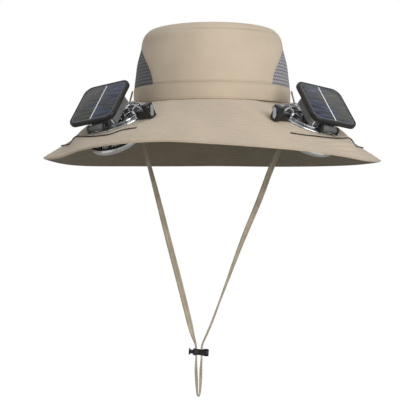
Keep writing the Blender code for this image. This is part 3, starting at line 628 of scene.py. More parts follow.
def polyline_distance(point, line):
    """Signed distance from a flat polyline, positive above it."""
    best, above = 1e9, 1.0
    for (ax, ay), (bx, by) in zip(line, line[1:]):
        dx, dy = bx - ax, by - ay
        span = dx * dx + dy * dy
        t = 0.0 if span == 0 else min(max(((point[0] - ax) * dx + (point[1] - ay) * dy) / span, 0.0), 1.0)
        px, py = point[0] - ax - t * dx, point[1] - ay - t * dy
        away = hypot(px, py)
        if away < best:
            best = away
            above = 1.0 if dx * py - dy * px >= 0 else -1.0
    return best * above


# Camera, stage and chin strap come first

make_camera()
make_stage()

CLOTH = srgb(199, 183, 161)
# The brim's underside gets a darker cloth colour: painted shade under the brim.
SHADED_UNDERSIDE = srgb(124, 113, 90)


def strap_line(samples):
    """Evenly spaced points on a smooth curve through the route, each with its turn and width share."""
    route = [Vector((x, 0.0, z)) for x, z, _, _ in STRAP_ROUTE]
    more = [row[2:] for row in STRAP_ROUTE]
    fine = []
    for i in range(len(route) - 1):
        p0, p1, p2, p3 = (route[min(max(k, 0), len(route) - 1)] for k in (i - 1, i, i + 1, i + 2))
        for k in range(12):
            u = k / 12
            point = 0.5 * (
                2 * p1
                + (p2 - p0) * u
                + (2 * p0 - 5 * p1 + 4 * p2 - p3) * u**2
                + (3 * p1 - p0 - 3 * p2 + p3) * u**3
            )
            blend = [a + (b - a) * u for a, b in zip(more[i], more[i + 1])]
            fine.append((point, *blend))
    fine.append((route[-1], *more[-1]))
    along = [0.0]
    for a, b in zip(fine, fine[1:]):
        along.append(along[-1] + (b[0] - a[0]).length)
    line, k = [], 0
    for i in range(samples):
        at = along[-1] * i / (samples - 1)
        while k < len(along) - 2 and along[k + 1] < at:
            k += 1
        u = (at - along[k]) / max(along[k + 1] - along[k], 1e-9)
        a, b = fine[k], fine[k + 1]
        line.append((a[0].lerp(b[0], u), a[1] + (b[1] - a[1]) * u, a[2] + (b[2] - a[2]) * u))
    return line, along[-1]


def strap_material():
    material, tree, _ = new_material("strap_tape", 0.8, Sheen_Weight=0.2, Sheen_Roughness=0.4)
    _, along, across = uv_parts(tree)
    twill = wave(tree, maths(tree, "ADD", along, across), 0.9)
    ribs = wave(tree, across, 1.3)
    blotch = noise(tree, 60.0, 3.0, object_space(tree))
    base = mixed(tree, ramp(tree, blotch, 0.3, 0.7), srgb(172, 159, 139), srgb(196, 183, 162))
    base = mixed(tree, ramp(tree, ribs, -1.0, 0.4, 0.35, 0.0), base, srgb(126, 114, 95))
    height = maths(tree, "MULTIPLY_ADD", twill, 0.4, times(tree, ribs, 0.6))
    return dressed(material, base, height, 0.6, 0.0003)


def make_strap():
    line, length = strap_line(STRAP_STEPS)
    section = []
    for k in range(STRAP_SIDES):
        turn = 2 * pi * k / STRAP_SIDES
        c, s = cos(turn), sin(turn)
        section.append((copysign(abs(c) ** 0.35, c), copysign(abs(s) ** 0.6, s)))
    rows, coords, centres = [], [], []
    for i, (point, turn, share) in enumerate(line):
        run = (line[min(i + 1, len(line) - 1)][0] - line[max(i - 1, 0)][0]).normalized()
        across = Matrix.Rotation(radians(turn), 3, run) @ Vector((0.0, 1.0, 0.0))
        face = run.cross(across).normalized()
        half_wide, half_thick = STRAP_WIDTH * share / 2, STRAP_THICK / 2 / share**0.5
        rows.append([point + across * half_wide * a + face * half_thick * b for a, b in section])
        at = length * MM * i / (len(line) - 1)
        shares = [abs(1 - 2 * (k % STRAP_SIDES) / STRAP_SIDES) for k in range(STRAP_SIDES + 1)]
        coords.append([(at, STRAP_WIDTH * MM * share) for share in shares])
        centres.append(point)
    mesh = cloth_mesh("strap_tape", rows, coords, True)
    bm = bmesh.new()
    bm.from_mesh(mesh)
    bmesh.ops.holes_fill(bm, edges=[e for e in bm.edges if e.is_boundary])
    bmesh.ops.recalc_face_normals(bm, faces=bm.faces)
    bm.to_mesh(mesh)
    bm.free()
    strap = link("strap_tape", mesh, strap_material(), ("chin_strap",))


make_strap()


# Crown


def seam_lines(*heights):
    """Stitched lines at heights on the cloth, in millimetres."""

    def lines(tree, along, across):
        return [maths(tree, "SUBTRACT", across, height) for height in heights]

    return lines


def make_crown():
    base = BAND_HEIGHT + GAP
    columns, rows_up = 72, 26
    across = arch_angles(GAP, columns)
    between = 60
    turn = pi - 2 * across[-1]
    angles = []
    for side in (0.0, pi):
        angles += [side + a for a in across]
        angles += [side + across[-1] + turn * i / between for i in range(1, between)]
    radius = (CROWN_HALF_WIDTH + CROWN_HALF_DEPTH) / 2

    def flat(angle, height):
        return (angle * radius * MM, height * MM)

    arch = [flat(a, base + arch_height(a)) for a in arch_angles(0.0, 60)]
    arch = [(arch[0][0], 0.0)] + arch + [(arch[-1][0], 0.0)]

    rows, coords, rims = [], [], []
    for i in range(rows_up + 1):
        row, coord, rim = [], [], []
        for a in angles:
            foot = base + arch_height(folded(a), GAP)
            height = foot + (TOP_SEAM_HEIGHT - foot) * i / rows_up
            puff = WALL_PUFF * sin(pi * min((TOP_SEAM_HEIGHT - height) / WALL_PUFF_HEIGHT, 1.0))
            row.append(crown_point(a, height, -puff))
            coord.append(flat(a, height))
            rim.append(polyline_distance(flat(folded(a), height), arch))
        coord.append(flat(angles[0] + 2 * pi, coord[0][1] / MM))
        rows.append(row)
        coords.append(coord)
        rims.append(rim)
    mesh = cloth_mesh("crown_wall", rows, coords, True, {"rim": rims})

    def wall_lines(tree, along, height):
        rim = attribute(tree, "rim")
        return [
            maths(tree, "SUBTRACT", rim, ARCH_STITCH_MM),
            maths(tree, "SUBTRACT", height, TOP_SEAM_HEIGHT * MM - WALL_TOP_STITCH_MM),
            maths(tree, "SUBTRACT", height, base * MM + SEAM_STITCH_MM),
        ]

    cloth = cloth_material("cotton_crown", CLOTH, wall_lines, 0.06)
    thicken(link("crown_wall", mesh, cloth, ("crown_side",)), CLOTH_THICK)

    start = TOP_SEAM_HEIGHT + SEAM_GAP
    steps = 36
    around = [2 * pi * i / CROWN_STEPS for i in range(CROWN_STEPS)]
    rows, coords, at = [], [], 0.0
    for i in range(steps + 1):
        height = start + (CROWN_HEIGHT - start) * sin(pi / 2 * i / steps)
        rows.append([crown_point(a, height) for a in around])
    rim_row = rows[-1]
    for i in range(1, 16):
        share = 1.0 - 0.96 * i / 15
        lift = TOP_DOME * (1.0 - share**2)
        rows.append([Vector((p.x * share, p.y * share, p.z + lift)) for p in rim_row])
    for i, row in enumerate(rows):
        if i:
            at += (row[0] - rows[i - 1][0]).length * MM
        coords.append(ring_coords(radius * MM, at, CROWN_STEPS))
    mesh = cloth_mesh("crown_cap", rows, coords, True)
    bm = bmesh.new()
    bm.from_mesh(mesh)
    hole = [e for e in bm.edges if e.is_boundary and e.verts[0].co.z > CROWN_HEIGHT]
    bmesh.ops.holes_fill(bm, edges=hole)
    bm.to_mesh(mesh)
    bm.free()
    cloth = cloth_material("cotton_top", CLOTH, seam_lines(CAP_STITCH_MM), 0.08)
    thicken(link("crown_cap", mesh, cloth, ("crown_top",)), CLOTH_THICK)

    rows, coords = [], []
    low, high = GAP * 0.3, BAND_HEIGHT + GAP * 0.8
    for i in range(15):
        height = low + (high - low) * i / 14
        puff = BAND_PUFF * sin(pi * i / 14) ** 0.5
        rows.append([crown_point(a, height, -puff) for a in around])
        coords.append(ring_coords(radius * MM, height * MM, CROWN_STEPS))
    mesh = cloth_mesh("crown_ribbon", rows, coords, True)
    band_lines = seam_lines(SEAM_STITCH_MM, BAND_HEIGHT * MM - SEAM_STITCH_MM)
    cloth = cloth_material("cotton_band", CLOTH, band_lines, 0.05)
    thicken(link("crown_ribbon", mesh, cloth, ("crown_band",)), BAND_THICK)

    # The two nets are one fabric, coloured lighter on the right and darker on the left: painted light and
    # shade.
    for name, middle, painted_light_tone in (("right", 0.0, (178, 177, 184)), ("left", pi, (122, 122, 124))):
        across = arch_angles(0.0, 60)[1:-1]
        rows, coords = [], []
        for i in range(31):
            row = [crown_point(middle + a, base + arch_height(a) * i / 30, NET_INSET) for a in across]
            rows.append(row)
            coords.append([(a * radius * MM, p.z * MM) for a, p in zip(across, row)])
        mesh = cloth_mesh("net", rows, coords, False)
        net = net_material(f"net_{name}", srgb(*painted_light_tone))
        thicken(link(f"net_{name}", mesh, net, (f"crown_mesh_{name}",)), NET_THICK)


def net_material(name, colour):
    material, tree, _ = new_material(name, 0.7, Sheen_Weight=0.1)
    _, along, across = uv_parts(tree)
    net = times(tree, wave(tree, along, NET_PITCH_MM), wave(tree, across, NET_PITCH_MM))
    holes = ramp(tree, net, -0.1, 0.45)
    stripes = wave(tree, across, NET_STRIPE_MM)
    dark = shaded(colour, 0.25)
    base = mixed(tree, ramp(tree, stripes, -0.3, 0.7, 0.0, 0.8), colour, dark)
    # Painted shade: the net's holes are darkened for the shaded inside of the crown behind them.
    base = mixed(tree, times(tree, holes, 0.7), base, dark)
    return dressed(material, base, holes, 0.7, 0.0006, invert=True)


make_crown()


# Brim


def brim_lines(tree, along, across):
    spacing = (BRIM_HALF_WIDTH - CROWN_HALF_WIDTH) * MM / BRIM_STITCH_ROWS
    turns = maths(tree, "DIVIDE", across, spacing)
    part = maths(tree, "SUBTRACT", maths(tree, "FRACT", turns), 0.5)
    return [times(tree, part, spacing)]


def make_brim():
    columns, per_row = 240, 4
    rows_out = BRIM_STITCH_ROWS * per_row
    inner = BAND_THICK / CROWN_HALF_WIDTH
    angles = [2 * pi * i / columns + pi / 2 for i in range(columns)]
    width = (BRIM_HALF_WIDTH - CROWN_HALF_WIDTH) * MM
    rows, coords = [], []
    for i in range(rows_out + 1):
        share = i / rows_out
        half_x = CROWN_HALF_WIDTH * (1 - inner) * (1 - share) + BRIM_HALF_WIDTH * share
        half_y = CROWN_HALF_DEPTH * (1 - inner) * (1 - share) + BRIM_HALF_DEPTH * share
        row = []
        for a in angles:
            point = brim_point(half_x * cos(a), half_y * sin(a))
            puff = BRIM_PUFF * (sin(pi * ((share * BRIM_STITCH_ROWS + 0.5) % 1.0)) - 1.0)
            row.append(point + Vector((0.0, 0.0, puff)))
        rows.append(row)
        coords.append(ring_coords((half_x + half_y) / 2 * MM, share * width, columns))
    rows.reverse()
    coords.reverse()
    mesh = cloth_mesh("brim_cloth", rows, coords, True)
    brim = link("brim_cloth", mesh, cloth_material("cotton_brim", CLOTH, brim_lines), ("brim",))
    # The underside takes the darker colour, painted shade under the brim.
    thicken(brim, BRIM_THICK, cloth_material("cotton_underside_shaded", SHADED_UNDERSIDE, brim_lines))
    cutters = []
    for side in (-1, 1):
        bm = bmesh.new()
        radius = SKIRT_RADIUS + GAP
        bmesh.ops.create_cone(
            bm, cap_ends=True, segments=72, radius1=radius, radius2=radius, depth=0.03,
            matrix=FAN_FRAMES[side],
        )
        slit = Matrix.Translation((side * STRAP_SLIT_OUT, 0.0, brim_height(STRAP_SLIT_OUT, 0.0)))
        bmesh.ops.create_cube(bm, size=1.0, matrix=slit @ Matrix.Diagonal((*STRAP_SLIT, 0.02, 1.0)))
        cutter = add_object("holes", finish_mesh(bm, "holes"))
        modifier = brim.modifiers.new("holes", "BOOLEAN")
        modifier.object = cutter
        modifier.operation = "DIFFERENCE"
        modifier.solver = "EXACT"
        cutters.append(cutter)
    apply_modifiers(brim)
    for cutter in cutters:
        bpy.data.objects.remove(cutter)
    brim.data.shade_smooth()
    brim.data.set_sharp_from_angle(angle=SHARP_ANGLE)


make_brim()


# Hard materials


def plastic(name, colour, roughness, grain=0.15, scale=900.0):
    material, tree, _ = new_material(name, roughness)
    space = object_space(tree)
    wear = noise(tree, 70.0, 4.0, space)
    base = mixed(tree, ramp(tree, wear, 0.45, 0.75, 0.0, 0.5), colour, shaded(colour, 1.5, 0.004))
    rough = ramp(tree, wear, 0.3, 0.7, roughness * 0.8, min(roughness * 1.25, 1.0))
    return dressed(material, base, noise(tree, scale, 2.0, space), grain, 0.0002, rough)


def metal(name, colour, roughness):
    material, tree, _ = new_material(name, roughness, 1.0)
    space = object_space(tree)
    smear = noise(tree, 120.0, 4.0, space)
    base = mixed(tree, ramp(tree, smear, 0.35, 0.75, 0.0, 0.6), colour, shaded(colour, 0.75))
    rough = ramp(tree, smear, 0.3, 0.7, roughness * 0.7, roughness * 1.5)
    return dressed(material, base, noise(tree, 400.0, 2.0, space), 0.05, 0.0002, rough)


# Hard pieces


def hinge_frames(side):
    """The hinge as the panel leans on it at rest, and its foot as it stands on the flange."""
    foot = Matrix.Rotation(-side * PANEL_TURN, 4, "Z") @ Matrix.Translation(
        (side * HINGE_ALONG, HINGE_OUT, HINGE_HEIGHT)
    )
    return FAN_FRAMES[side] @ foot @ Matrix.Rotation(-PANEL_TILT, 4, "X"), FAN_FRAMES[side] @ foot


def skin(bm, rings, matrix, caps=(True, True), origin=(0.0, 0.0)):
    """Adds a skin through rings of points; its coordinates are its own millimetres before it is placed."""
    uv = bm.loops.layers.uv["cloth"]
    grid, flat = [], {}
    for ring in rings:
        row = []
        for p in ring:
            vert = bm.verts.new(matrix @ Vector(p))
            flat[vert] = ((p[0] - origin[0]) * MM, (p[1] - origin[1]) * MM)
            row.append(vert)
        grid.append(row)
    faces = []
    for a, b in zip(grid, grid[1:]):
        for j in range(len(a)):
            k = (j + 1) % len(a)
            faces.append(bm.faces.new((a[j], a[k], b[k], b[j])))
    if caps[0]:
        faces.append(bm.faces.new(grid[0][::-1]))
    if caps[1]:
        faces.append(bm.faces.new(grid[-1]))
    bmesh.ops.recalc_face_normals(bm, faces=faces)
    for face in faces:
        for loop in face.loops:
            loop[uv].uv = flat[loop.vert]


def new_skin():
    bm = bmesh.new()
    bm.loops.layers.uv.new("cloth")
    return bm


def link_skin(bm, name, material, replaces=(), body="hat"):
    return link(name, finish_mesh(bm, name), material, replaces, body)


def link_rings(name, rings, matrix, material, replaces=(), body="hat", **settings):
    """A piece made of one skin."""
    bm = new_skin()
    skin(bm, rings, matrix, **settings)
    link_skin(bm, name, material, replaces, body)


def edge_levels(low, high, edge, steps=4):
    """Insets and heights up a slab with rounded edges."""
    turns = [pi / 2 * i / steps for i in range(steps + 1)]
    foot = [(edge * (1 - sin(t)), low + edge * (1 - cos(t))) for t in turns]
    return foot + [(inset, low + high - z) for inset, z in reversed(foot)]


def slab_rings(half_x, half_y, corner, levels, centre=(0.0, 0.0), steps=8):
    rings = []
    for inset, z in levels:
        radius = max(corner - inset, 0.0002)
        ring = []
        for quarter, (sx, sy) in enumerate(((1, 1), (-1, 1), (-1, -1), (1, -1))):
            for i in range(steps + 1):
                turn = pi / 2 * (quarter + i / steps)
                ring.append((
                    centre[0] + sx * (half_x - inset - radius) + radius * cos(turn),
                    centre[1] + sy * (half_y - inset - radius) + radius * sin(turn),
                    z,
                ))
        rings.append(ring)
    return rings


def lathe_rings(profile, steps, axis="Z"):
    """Rings round an axis for rows of (radius, distance along the axis)."""
    rings = []
    for radius, at in profile:
        ring = []
        for i in range(steps):
            turn = 2 * pi * i / steps
            a, b = radius * cos(turn), radius * sin(turn)
            ring.append((a, b, at) if axis == "Z" else (at, a, b))
        rings.append(ring)
    return rings


def duct_ring(share, radius, steps, turn=0.0):
    top = Vector((0.0, 0.0, -BRIM_THICK - DUCT_DROP))
    middle = top + Vector((DUCT_SHIFT[0], DUCT_SHIFT[1], -DUCT_LENGTH)) * share
    lean = Matrix.Rotation(DUCT_LEAN[0] * share, 4, "Y") @ Matrix.Rotation(-DUCT_LEAN[1] * share, 4, "X")
    turns = [turn + 2 * pi * i / steps for i in range(steps)]
    return [middle + lean @ Vector((radius * cos(a), radius * sin(a), 0.0)) for a in turns]


def soften(obj, width):
    bevel = obj.modifiers.new("edge", "BEVEL")
    bevel.width, bevel.segments, bevel.limit_method = width, 2, "ANGLE"
    return bevel


def shell(name, rings, side, material, thickness, edge=0.00025, is_open=None, inner=None, replaces=()):
    """A sheet of metal in the fan's frame, with openings, a wall and softened edges."""
    place = FAN_FRAMES[side]
    bm = new_skin()
    mirror = Matrix.Scale(side, 4, (1.0, 0.0, 0.0))
    grid = [[bm.verts.new(place @ (mirror @ Vector(p))) for p in ring] for ring in rings]
    for i, (a, b) in enumerate(zip(grid, grid[1:])):
        for j in range(len(a)):
            if is_open is None or not is_open(i, j):
                k = (j + 1) % len(a)
                corners = (a[j], a[k], b[k], b[j])
                bm.faces.new(corners if side > 0 else corners[::-1])
    bmesh.ops.delete(bm, geom=[v for v in bm.verts if not v.link_faces], context="VERTS")
    obj = link_skin(bm, name, material, replaces)
    thicken(obj, thickness, inner)
    soften(obj, edge).angle_limit = SHARP_ANGLE


def make_duct(side, word):
    per = 8
    steps = DUCT_WINDOWS * per
    shares = (0.70, 0.67, 0.65, 0.64, 0.47, 0.32, 0.17, 0.16, 0.08, 0.0)
    radii = [DUCT_RADIUS * table_value(DUCT_SECTIONS, s) for s in shares]
    rows = [duct_ring(s, radius, steps, -pi / steps) for s, radius in zip(shares, radii)]
    shell(
        f"duct_{word}", rows, side, BLACK_METAL, DUCT_WALL * 0.9, replaces=(f"fan_duct_{word}",),
        is_open=lambda i, j: 2 <= i <= 6 and j % per < per - 2, inner=LINING,
    )
    shares = [0.10 + 0.064 * i for i in range(9, -1, -1)]
    rows = [duct_ring(s, DUCT_RADIUS * table_value(DUCT_SECTIONS, s) - DUCT_WALL, RING_STEPS) for s in shares]
    shell(f"filter_{word}", rows, side, FILTER, FILTER_THICK)
    shares = [BEZEL_TOP + (1 - BEZEL_TOP) * i / 12 for i in range(12, -1, -1)]
    radii = [DUCT_RADIUS * (table_value(BEZEL_SECTIONS, s) - 0.004 * cos(s * 40)) for s in shares]
    rows = [duct_ring(s, radius, RING_STEPS) for s, radius in zip(shares, radii)]
    shell(f"bezel_{word}", rows, side, BRIGHT, DUCT_WALL, 0.0005, replaces=(f"fan_bezel_{word}",))

    radius = DUCT_RADIUS * 0.825 - DUCT_WALL - 2 * GAP
    shares = (0.02, 0.12, 0.24, 0.42, 0.46, 0.64, 0.68, 0.90, 0.95, 1.0)
    rows = [duct_ring(0.86, radius * s, RING_STEPS) for s in shares]
    hoops = (0, 1, 3, 5, 7, 8)
    shell(
        f"grille_{word}", rows, side, DARK, GRILLE_THICK, 0.0003, replaces=(f"fan_grille_{word}",),
        is_open=lambda i, j: i not in hoops and j % 12 > 1,
    )


def make_flange(side, word):
    inner, top = SKIRT_RADIUS - SKIRT_WALL, GAP + FLANGE_THICK
    profile = [
        (inner, -SKIRT_DEPTH), (inner, top - 0.0004), (inner + 0.0004, top), (inner + 0.0022, top),
        (inner + 0.0025, top - 0.0003), (inner + 0.0031, top - 0.0003), (inner + 0.0034, top),
        (FLANGE_RADIUS - 0.0012, top), (FLANGE_RADIUS - 0.0004, top - 0.0003), (FLANGE_RADIUS, top - 0.0009),
        (FLANGE_RADIUS, GAP), (SKIRT_RADIUS, GAP), (SKIRT_RADIUS, -SKIRT_DEPTH), (inner, -SKIRT_DEPTH),
    ]
    bm = new_skin()
    skin(bm, lathe_rings(profile, RING_STEPS), FAN_FRAMES[side], NO_CAPS)
    bmesh.ops.remove_doubles(bm, verts=bm.verts, dist=1e-6)
    link_skin(bm, f"flange_{word}", SILVER, (f"fan_flange_{word}",))


def make_cage(side, word):
    seat = GAP + FLANGE_THICK + GAP
    per = 8
    steps = CAGE_RIBS * per
    table = [[(row[0], row[k]) for row in reversed(CAGE_SECTIONS)] for k in (1, 2, 3)]
    edge, rim = CAGE_SECTIONS[0][0], CAGE_SECTIONS[1][0]
    hub = CAGE_SECTIONS[-1][0]
    radii = [edge, (edge + rim) / 2, rim]
    radii += [rim + (hub + 0.0006 - rim) * i / 8 for i in range(1, 9)] + [hub, hub * 0.7, hub * 0.4, 0.0012]
    rows = []
    for radius in radii:
        height, shift, lean = (table_value(t, radius) for t in table)
        ring = []
        for i in range(steps):
            turn = 2 * pi * (i - 0.5) / steps
            y = radius * sin(turn) - shift
            ring.append(Vector((radius * cos(turn), y, seat + height - lean * y)))
        rows.append(ring)
    bands = (0, 1, 5, 10, 11, 12, 13)
    shell(
        f"cage_{word}", rows, side, CHROME, CAGE_WALL, 0.0003, replaces=(f"fan_cage_{word}",),
        is_open=lambda i, j: i not in bands and j % per > 1,
    )


def make_fan(side, word):
    ceiling = GAP + FLANGE_THICK + GAP + CAGE_SECTIONS[-1][1] - CAGE_WALL
    low, high = FAN_TOP - FAN_HEIGHT, FAN_TOP
    foot = FAN_TOP + 2 * GAP
    profile = [
        (SHAFT_RADIUS, low), (SHAFT_RADIUS, foot), (MOTOR_RADIUS - 0.0006, foot),
        (MOTOR_RADIUS, foot + 0.0006), (MOTOR_RADIUS, ceiling - 0.0024),
        (MOTOR_RADIUS - 0.0003, ceiling - 0.0021), (MOTOR_RADIUS - 0.0003, ceiling - 0.0018),
        (MOTOR_RADIUS, ceiling - 0.0015), (MOTOR_RADIUS, ceiling - GAP),
    ]
    link_rings(f"motor_{word}", lathe_rings(profile, 40), FAN_FRAMES[side], SILVER, (f"fan_motor_{word}",))

    bore = SHAFT_RADIUS + GAP
    profile = [
        (bore, low), (HUB_RADIUS - 0.0012, low), (HUB_RADIUS - 0.0003, low + 0.0004),
        (HUB_RADIUS, low + 0.0014), (HUB_RADIUS, high - 0.0010), (HUB_RADIUS - 0.0010, high),
        (bore, high), (bore, low),
    ]
    bm = new_skin()
    skin(bm, lathe_rings(profile, 56), FAN_FRAMES[side], NO_CAPS)
    across, along = 8, 10
    for blade in range(FAN_BLADES):
        spin = Matrix.Rotation(2 * pi * blade / FAN_BLADES, 4, "Z")
        rings = []
        for i in range(along + 1):
            share = i / along
            radius = HUB_RADIUS - 0.0015 + (FAN_RADIUS - HUB_RADIUS + 0.0012) * share
            half = 0.0046 * (0.80 + 0.20 * sin(pi * min(share * 1.25, 1.0)))
            if i == along:
                half *= 0.86
            pitch = side * (BLADE_PITCH * (1.15 - 0.30 * share))
            sweep = side * 0.0016 * share**2
            upper, lower = [], []
            for k in range(across + 1):
                w = 2 * k / across - 1
                camber = 0.0007 * (1 - w * w)
                thick = BLADE_THICK / 2 * max(1 - w**4, 0.12)
                y = half * w
                for out, z in ((upper, camber + thick), (lower, camber - thick)):
                    out.append(spin @ Vector((
                        sqrt(max(radius**2 - y * y * 0.6, 0.0)),
                        y * cos(pitch) - z * sin(pitch) + sweep,
                        high - FAN_HEIGHT / 2 + y * sin(pitch) + z * cos(pitch),
                    )))
            rings.append(upper + lower[::-1])
        skin(bm, rings, FAN_FRAMES[side])
    node_name = f"fan_impeller_{word}"
    link_skin(bm, f"impeller_{word}", FAN_SILVER, (node_name,), node_name)


def make_panel(side, word):
    hinge, foot = hinge_frames(side)
    body = f"solar_panel_{word}"
    centre = (side * PANEL_CENTRE_ALONG, -PANEL_CENTRE_UP)
    half = PANEL_SIDE / 2
    low, high = HINGE_TO_PANEL - PANEL_THICK / 2, HINGE_TO_PANEL + PANEL_THICK / 2
    levels = edge_levels(low, high, 0.0014, 5)
    levels += [
        (PANEL_BORDER - 0.0003, high), (PANEL_BORDER, high - 0.0003), (PANEL_BORDER, high - PANEL_RECESS),
    ]
    rings = slab_rings(half, half, PANEL_CORNER, levels, centre, 12)
    link_rings(f"frame_{word}", rings, hinge, BLACK, (f"panel_frame_{word}",), body, origin=centre)

    top = high - GAP
    cell = half - PANEL_BORDER - GAP
    bottom = top - (PANEL_RECESS - 2 * GAP)
    corner = PANEL_CORNER - PANEL_BORDER - GAP
    rings = slab_rings(cell, cell, corner, edge_levels(bottom, top, 0.0002, 2), centre, 12)
    link_rings(f"cells_{word}", rings, hinge, CELLS[side], (f"solar_cells_{word}",), body, origin=centre)
    rim_top = top + RIM_HEIGHT
    rim = [(0.0, top), (0.0, rim_top), (RIM_WIDTH, rim_top), (RIM_WIDTH, top), (0.0, top)]
    rings = slab_rings(cell, cell, corner, rim, centre, 12)
    link_rings(f"cell_rim_{word}", rings, hinge, RIM, (), body, caps=NO_CAPS)

    lid = low - GAP
    near_edge = -LUG_RADIUS - 2 * GAP
    levels = edge_levels(lid - CASE_THICK, lid, 0.0009)
    groove = lid - CASE_THICK * 0.36
    split = len(levels) // 2
    cut = ((0.0, -0.0004), (0.0003, -0.0002), (0.0003, 0.0002), (0.0, 0.0004))
    levels[split:split] = [(inset, groove + z) for inset, z in cut]
    bm = new_skin()
    middle = (side * CASE_ALONG, near_edge - CASE_LENGTH / 2)
    skin(bm, slab_rings(CASE_WIDTH / 2, CASE_LENGTH / 2, CASE_CORNER, levels, middle), hinge, origin=middle)
    half_barrel = BARREL_LENGTH / 2
    bore = PIN_RADIUS + GAP
    barrel = [
        (bore, -half_barrel), (BARREL_RADIUS - 0.0004, -half_barrel), (BARREL_RADIUS, -half_barrel + 0.0004),
        (BARREL_RADIUS, half_barrel - 0.0004), (BARREL_RADIUS - 0.0004, half_barrel), (bore, half_barrel),
        (bore, -half_barrel),
    ]
    skin(bm, lathe_rings(barrel, 32, "X"), hinge, NO_CAPS)
    reach = -near_edge - BARREL_RADIUS * 0.8 + 0.001
    web = slab_rings(
        half_barrel - 0.0003, reach / 2, 0.0004,
        [(0.0, -BARREL_RADIUS / 2), (0.0, BARREL_RADIUS / 2)], (0.0, near_edge - 0.001 + reach / 2), 2,
    )
    skin(bm, web, hinge)
    link_skin(bm, f"battery_{word}", GREY, (f"battery_case_{word}",), body)

    # A pale bar down the case's near face by its corner: a painted highlight where the rounded corner catches
    # the light.
    strip_centre = (side * (CASE_ALONG + CASE_WIDTH / 2 - 0.004), near_edge - 0.0002)
    levels = edge_levels(lid - CASE_THICK + STRIP_MARGIN, lid - STRIP_MARGIN, 0.0002, 2)
    rings = slab_rings(0.0006, 0.0005, 0.0002, levels, strip_centre, 3)
    link_rings(f"battery_strip_{word}", rings, hinge, HIGHLIGHT_STRIP, (), body)

    bm = new_skin()
    inside = half_barrel + GAP
    outside = inside + LUG_THICK
    seat = GAP + FLANGE_THICK + GAP - HINGE_HEIGHT
    pin_end = outside - 0.0005
    skin(bm, lathe_rings([(PIN_RADIUS, -pin_end), (PIN_RADIUS, pin_end)], 20, "X"), foot)
    for sign in (-1, 1):
        a, b = sorted((sign * inside, sign * outside))
        outline = []
        for i in range(17):
            turn = pi * i / 16
            outline.append((LUG_RADIUS * cos(turn), LUG_RADIUS * sin(turn)))
        outline += [(-LUG_RADIUS, seat), (LUG_RADIUS, seat)]
        rings = []
        for x, shrink in ((a, 0.90), (a + 0.0003, 1.0), (b - 0.0003, 1.0), (b, 0.90)):
            rings.append([(x, y * shrink, z if z == seat else z * shrink) for y, z in outline])
        skin(bm, rings, foot)
    link_skin(bm, f"hinge_{word}", BLACK, (f"hinge_bracket_{word}",))


def dress_box(name, node_name, side, edge, material, trim=0.0):
    """A moulded block in the fan's frame over a CAD node's box, its outer end cut back by the trim."""
    back = FAN_FRAMES[side].inverted()
    points = [back @ v.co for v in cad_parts[node_name].data.vertices]
    low, high = ([pick(p[k] for p in points) for k in range(3)] for pick in (min, max))
    if side > 0:
        high[0] -= trim
    else:
        low[0] += trim
    centre = ((low[0] + high[0]) / 2, (low[1] + high[1]) / 2)
    levels = edge_levels(low[2], high[2], edge)
    rings = slab_rings((high[0] - low[0]) / 2, (high[1] - low[1]) / 2, edge * 1.4, levels, centre, 4)
    link_rings(name, rings, FAN_FRAMES[side], material, (node_name,), origin=centre)


def make_side_box(side, word):
    dress_box(f"arm_{word}", f"side_arm_{word}", side, 0.0011, BLACK)
    dress_box(f"box_{word}", f"side_box_{word}", side, 0.0009, BLACK, PLATE_THICK * 0.6)
    dress_box(f"plate_{word}", f"side_plate_{word}", side, 0.0003, STRIPES)


def make_piping(side, word):
    steps = 60
    flange_edge = FAN_REACH + FLANGE_RADIUS * cos(FAN_SLOPE)
    rings = []
    for i in range(steps + 1):
        turn = PIPING_FROM + (PIPING_TO - PIPING_FROM) * i / steps
        brim_edge = 1.0 / hypot(cos(turn) / BRIM_HALF_WIDTH, sin(turn) / BRIM_HALF_DEPTH)
        radius = flange_edge + (brim_edge - flange_edge) * PIPING_SHARE
        out = Vector((side * cos(turn), -sin(turn), 0.0))
        foot = brim_point(out.x * radius, out.y * radius)
        ring = []
        for k in range(10):
            bend = 2 * pi * k / 10
            shift = out * (PIPING_WIDTH / 2 * cos(bend))
            ring.append(foot + shift + Vector((0.0, 0.0, GAP + PIPING_HEIGHT / 2 * (1 + sin(bend)))))
        rings.append(ring)
    link_rings(f"piping_{word}", rings, Matrix.Identity(4), PIPING, (f"brim_piping_{word}",))


def cell_material(name, tilt):
    """Two cells with a bright busbar between them and slanting crystal streaks."""
    material, tree, shader = new_material(name, 0.22, Coat_Weight=0.25, Coat_Roughness=0.10)
    uv, across, along = uv_parts(tree)
    slant = {"Vector": uv, "Rotation": (0.0, 0.0, radians(-24)), "Scale": (0.05, 0.42, 1.0)}
    streaks = noise(tree, 1.0, 4.0, node(tree, "ShaderNodeMapping", slant).outputs[0])
    cloud = noise(tree, 0.06, 2.0, uv)
    navy = mixed(tree, ramp(tree, streaks, 0.38, 0.66), srgb(18, 21, 38), srgb(64, 74, 106))
    olive = mixed(tree, ramp(tree, streaks, 0.38, 0.66), srgb(26, 28, 27), srgb(74, 76, 64))
    away = maths(tree, "ABSOLUTE", maths(tree, "ADD", across, tilt))
    lean = maths(tree, "MULTIPLY_ADD", away, 0.006, cloud)
    base = mixed(tree, ramp(tree, lean, 0.52, 0.66), navy, olive)
    fingers = maths(tree, "LESS_THAN", maths(tree, "FRACT", maths(tree, "DIVIDE", along, 1.6)), 0.12)
    base = mixed(tree, times(tree, fingers, 0.10), base, srgb(140, 146, 156))
    bar = ramp(tree, maths(tree, "ABSOLUTE", across), 0.55, 0.75, 1.0, 0.0)
    base = mixed(tree, bar, base, srgb(236, 238, 240))
    tree.links.new(base, shader.inputs["Base Color"])
    return material


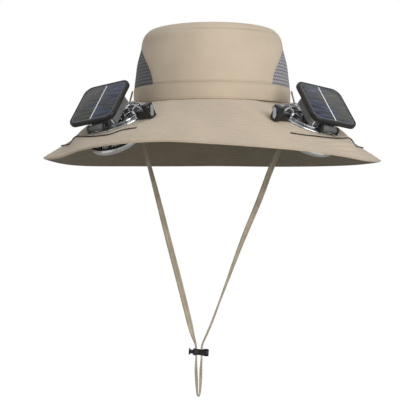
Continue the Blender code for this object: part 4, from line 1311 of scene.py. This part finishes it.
def filter_material():
    """Pale woven filter behind the duct's windows."""
    material, tree, _ = new_material("filter", 0.5)
    inputs = {"Vector": object_space(tree), "Scale": 1100.0}
    dots = node(tree, "ShaderNodeTexVoronoi", inputs).outputs["Distance"]
    base = mixed(tree, ramp(tree, dots, 0.25, 0.6), srgb(226, 227, 229), srgb(150, 151, 154))
    return dressed(material, base, dots, 0.5, 0.0003)


def stripes_material():
    """Bright plate with dark stripes along its long side."""
    material, tree, _ = new_material("plate_stripes", 0.25, 1.0)
    space = object_space(tree)
    split = node(tree, "ShaderNodeSeparateXYZ", {"Vector": space})
    stripes = wave(tree, split.outputs["Y"], 0.0045)
    base = mixed(tree, ramp(tree, stripes, 0.2, 0.5), srgb(206, 210, 216), srgb(70, 74, 82))
    return dressed(material, base, noise(tree, 500.0, 2.0, space), 0.1, 0.0002)


BLACK = plastic("moulded_black", srgb(26, 26, 28), 0.30)
GREY = plastic("moulded_grey", srgb(96, 97, 99), 0.55, 0.5, 1500.0)
SILVER = metal("plated_silver", srgb(214, 216, 218), 0.16)
FAN_SILVER = metal("fan_silver", srgb(176, 180, 186), 0.24)
BRIGHT = metal("polished_silver", srgb(226, 226, 224), 0.14)
LINING = plastic("duct_lining", srgb(238, 239, 241), 0.5)
CHROME = metal("smoked_chrome", srgb(206, 208, 212), 0.09)
DARK = metal("plated_dark", srgb(96, 100, 106), 0.24)
BLACK_METAL = metal("black_nickel", srgb(44, 45, 47), 0.28)
RIM = plastic("pale_rim", srgb(118, 121, 126), 0.35)
# Painted highlight colour for the bar on the battery case.
HIGHLIGHT_STRIP = plastic("painted_highlight_strip", srgb(226, 228, 230), 0.30)
PIPING = plastic("piping", srgb(26, 25, 24), 0.7, 0.6, 1400.0)
CELLS = {-1: cell_material("cells_left", 16.0), 1: cell_material("cells_right", -16.0)}
STRIPES = stripes_material()
FILTER = filter_material()

for side, word in ((-1, "left"), (1, "right")):
    for make in (make_flange, make_duct, make_cage, make_fan, make_panel, make_side_box, make_piping):
        make(side, word)

# The cord lock keeps its CAD shape, with softened edges
for name in ("lock_body", "lock_plunger"):
    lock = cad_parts[name]
    for slot in lock.material_slots:
        slot.material = BLACK
    soften(lock, 0.0003)
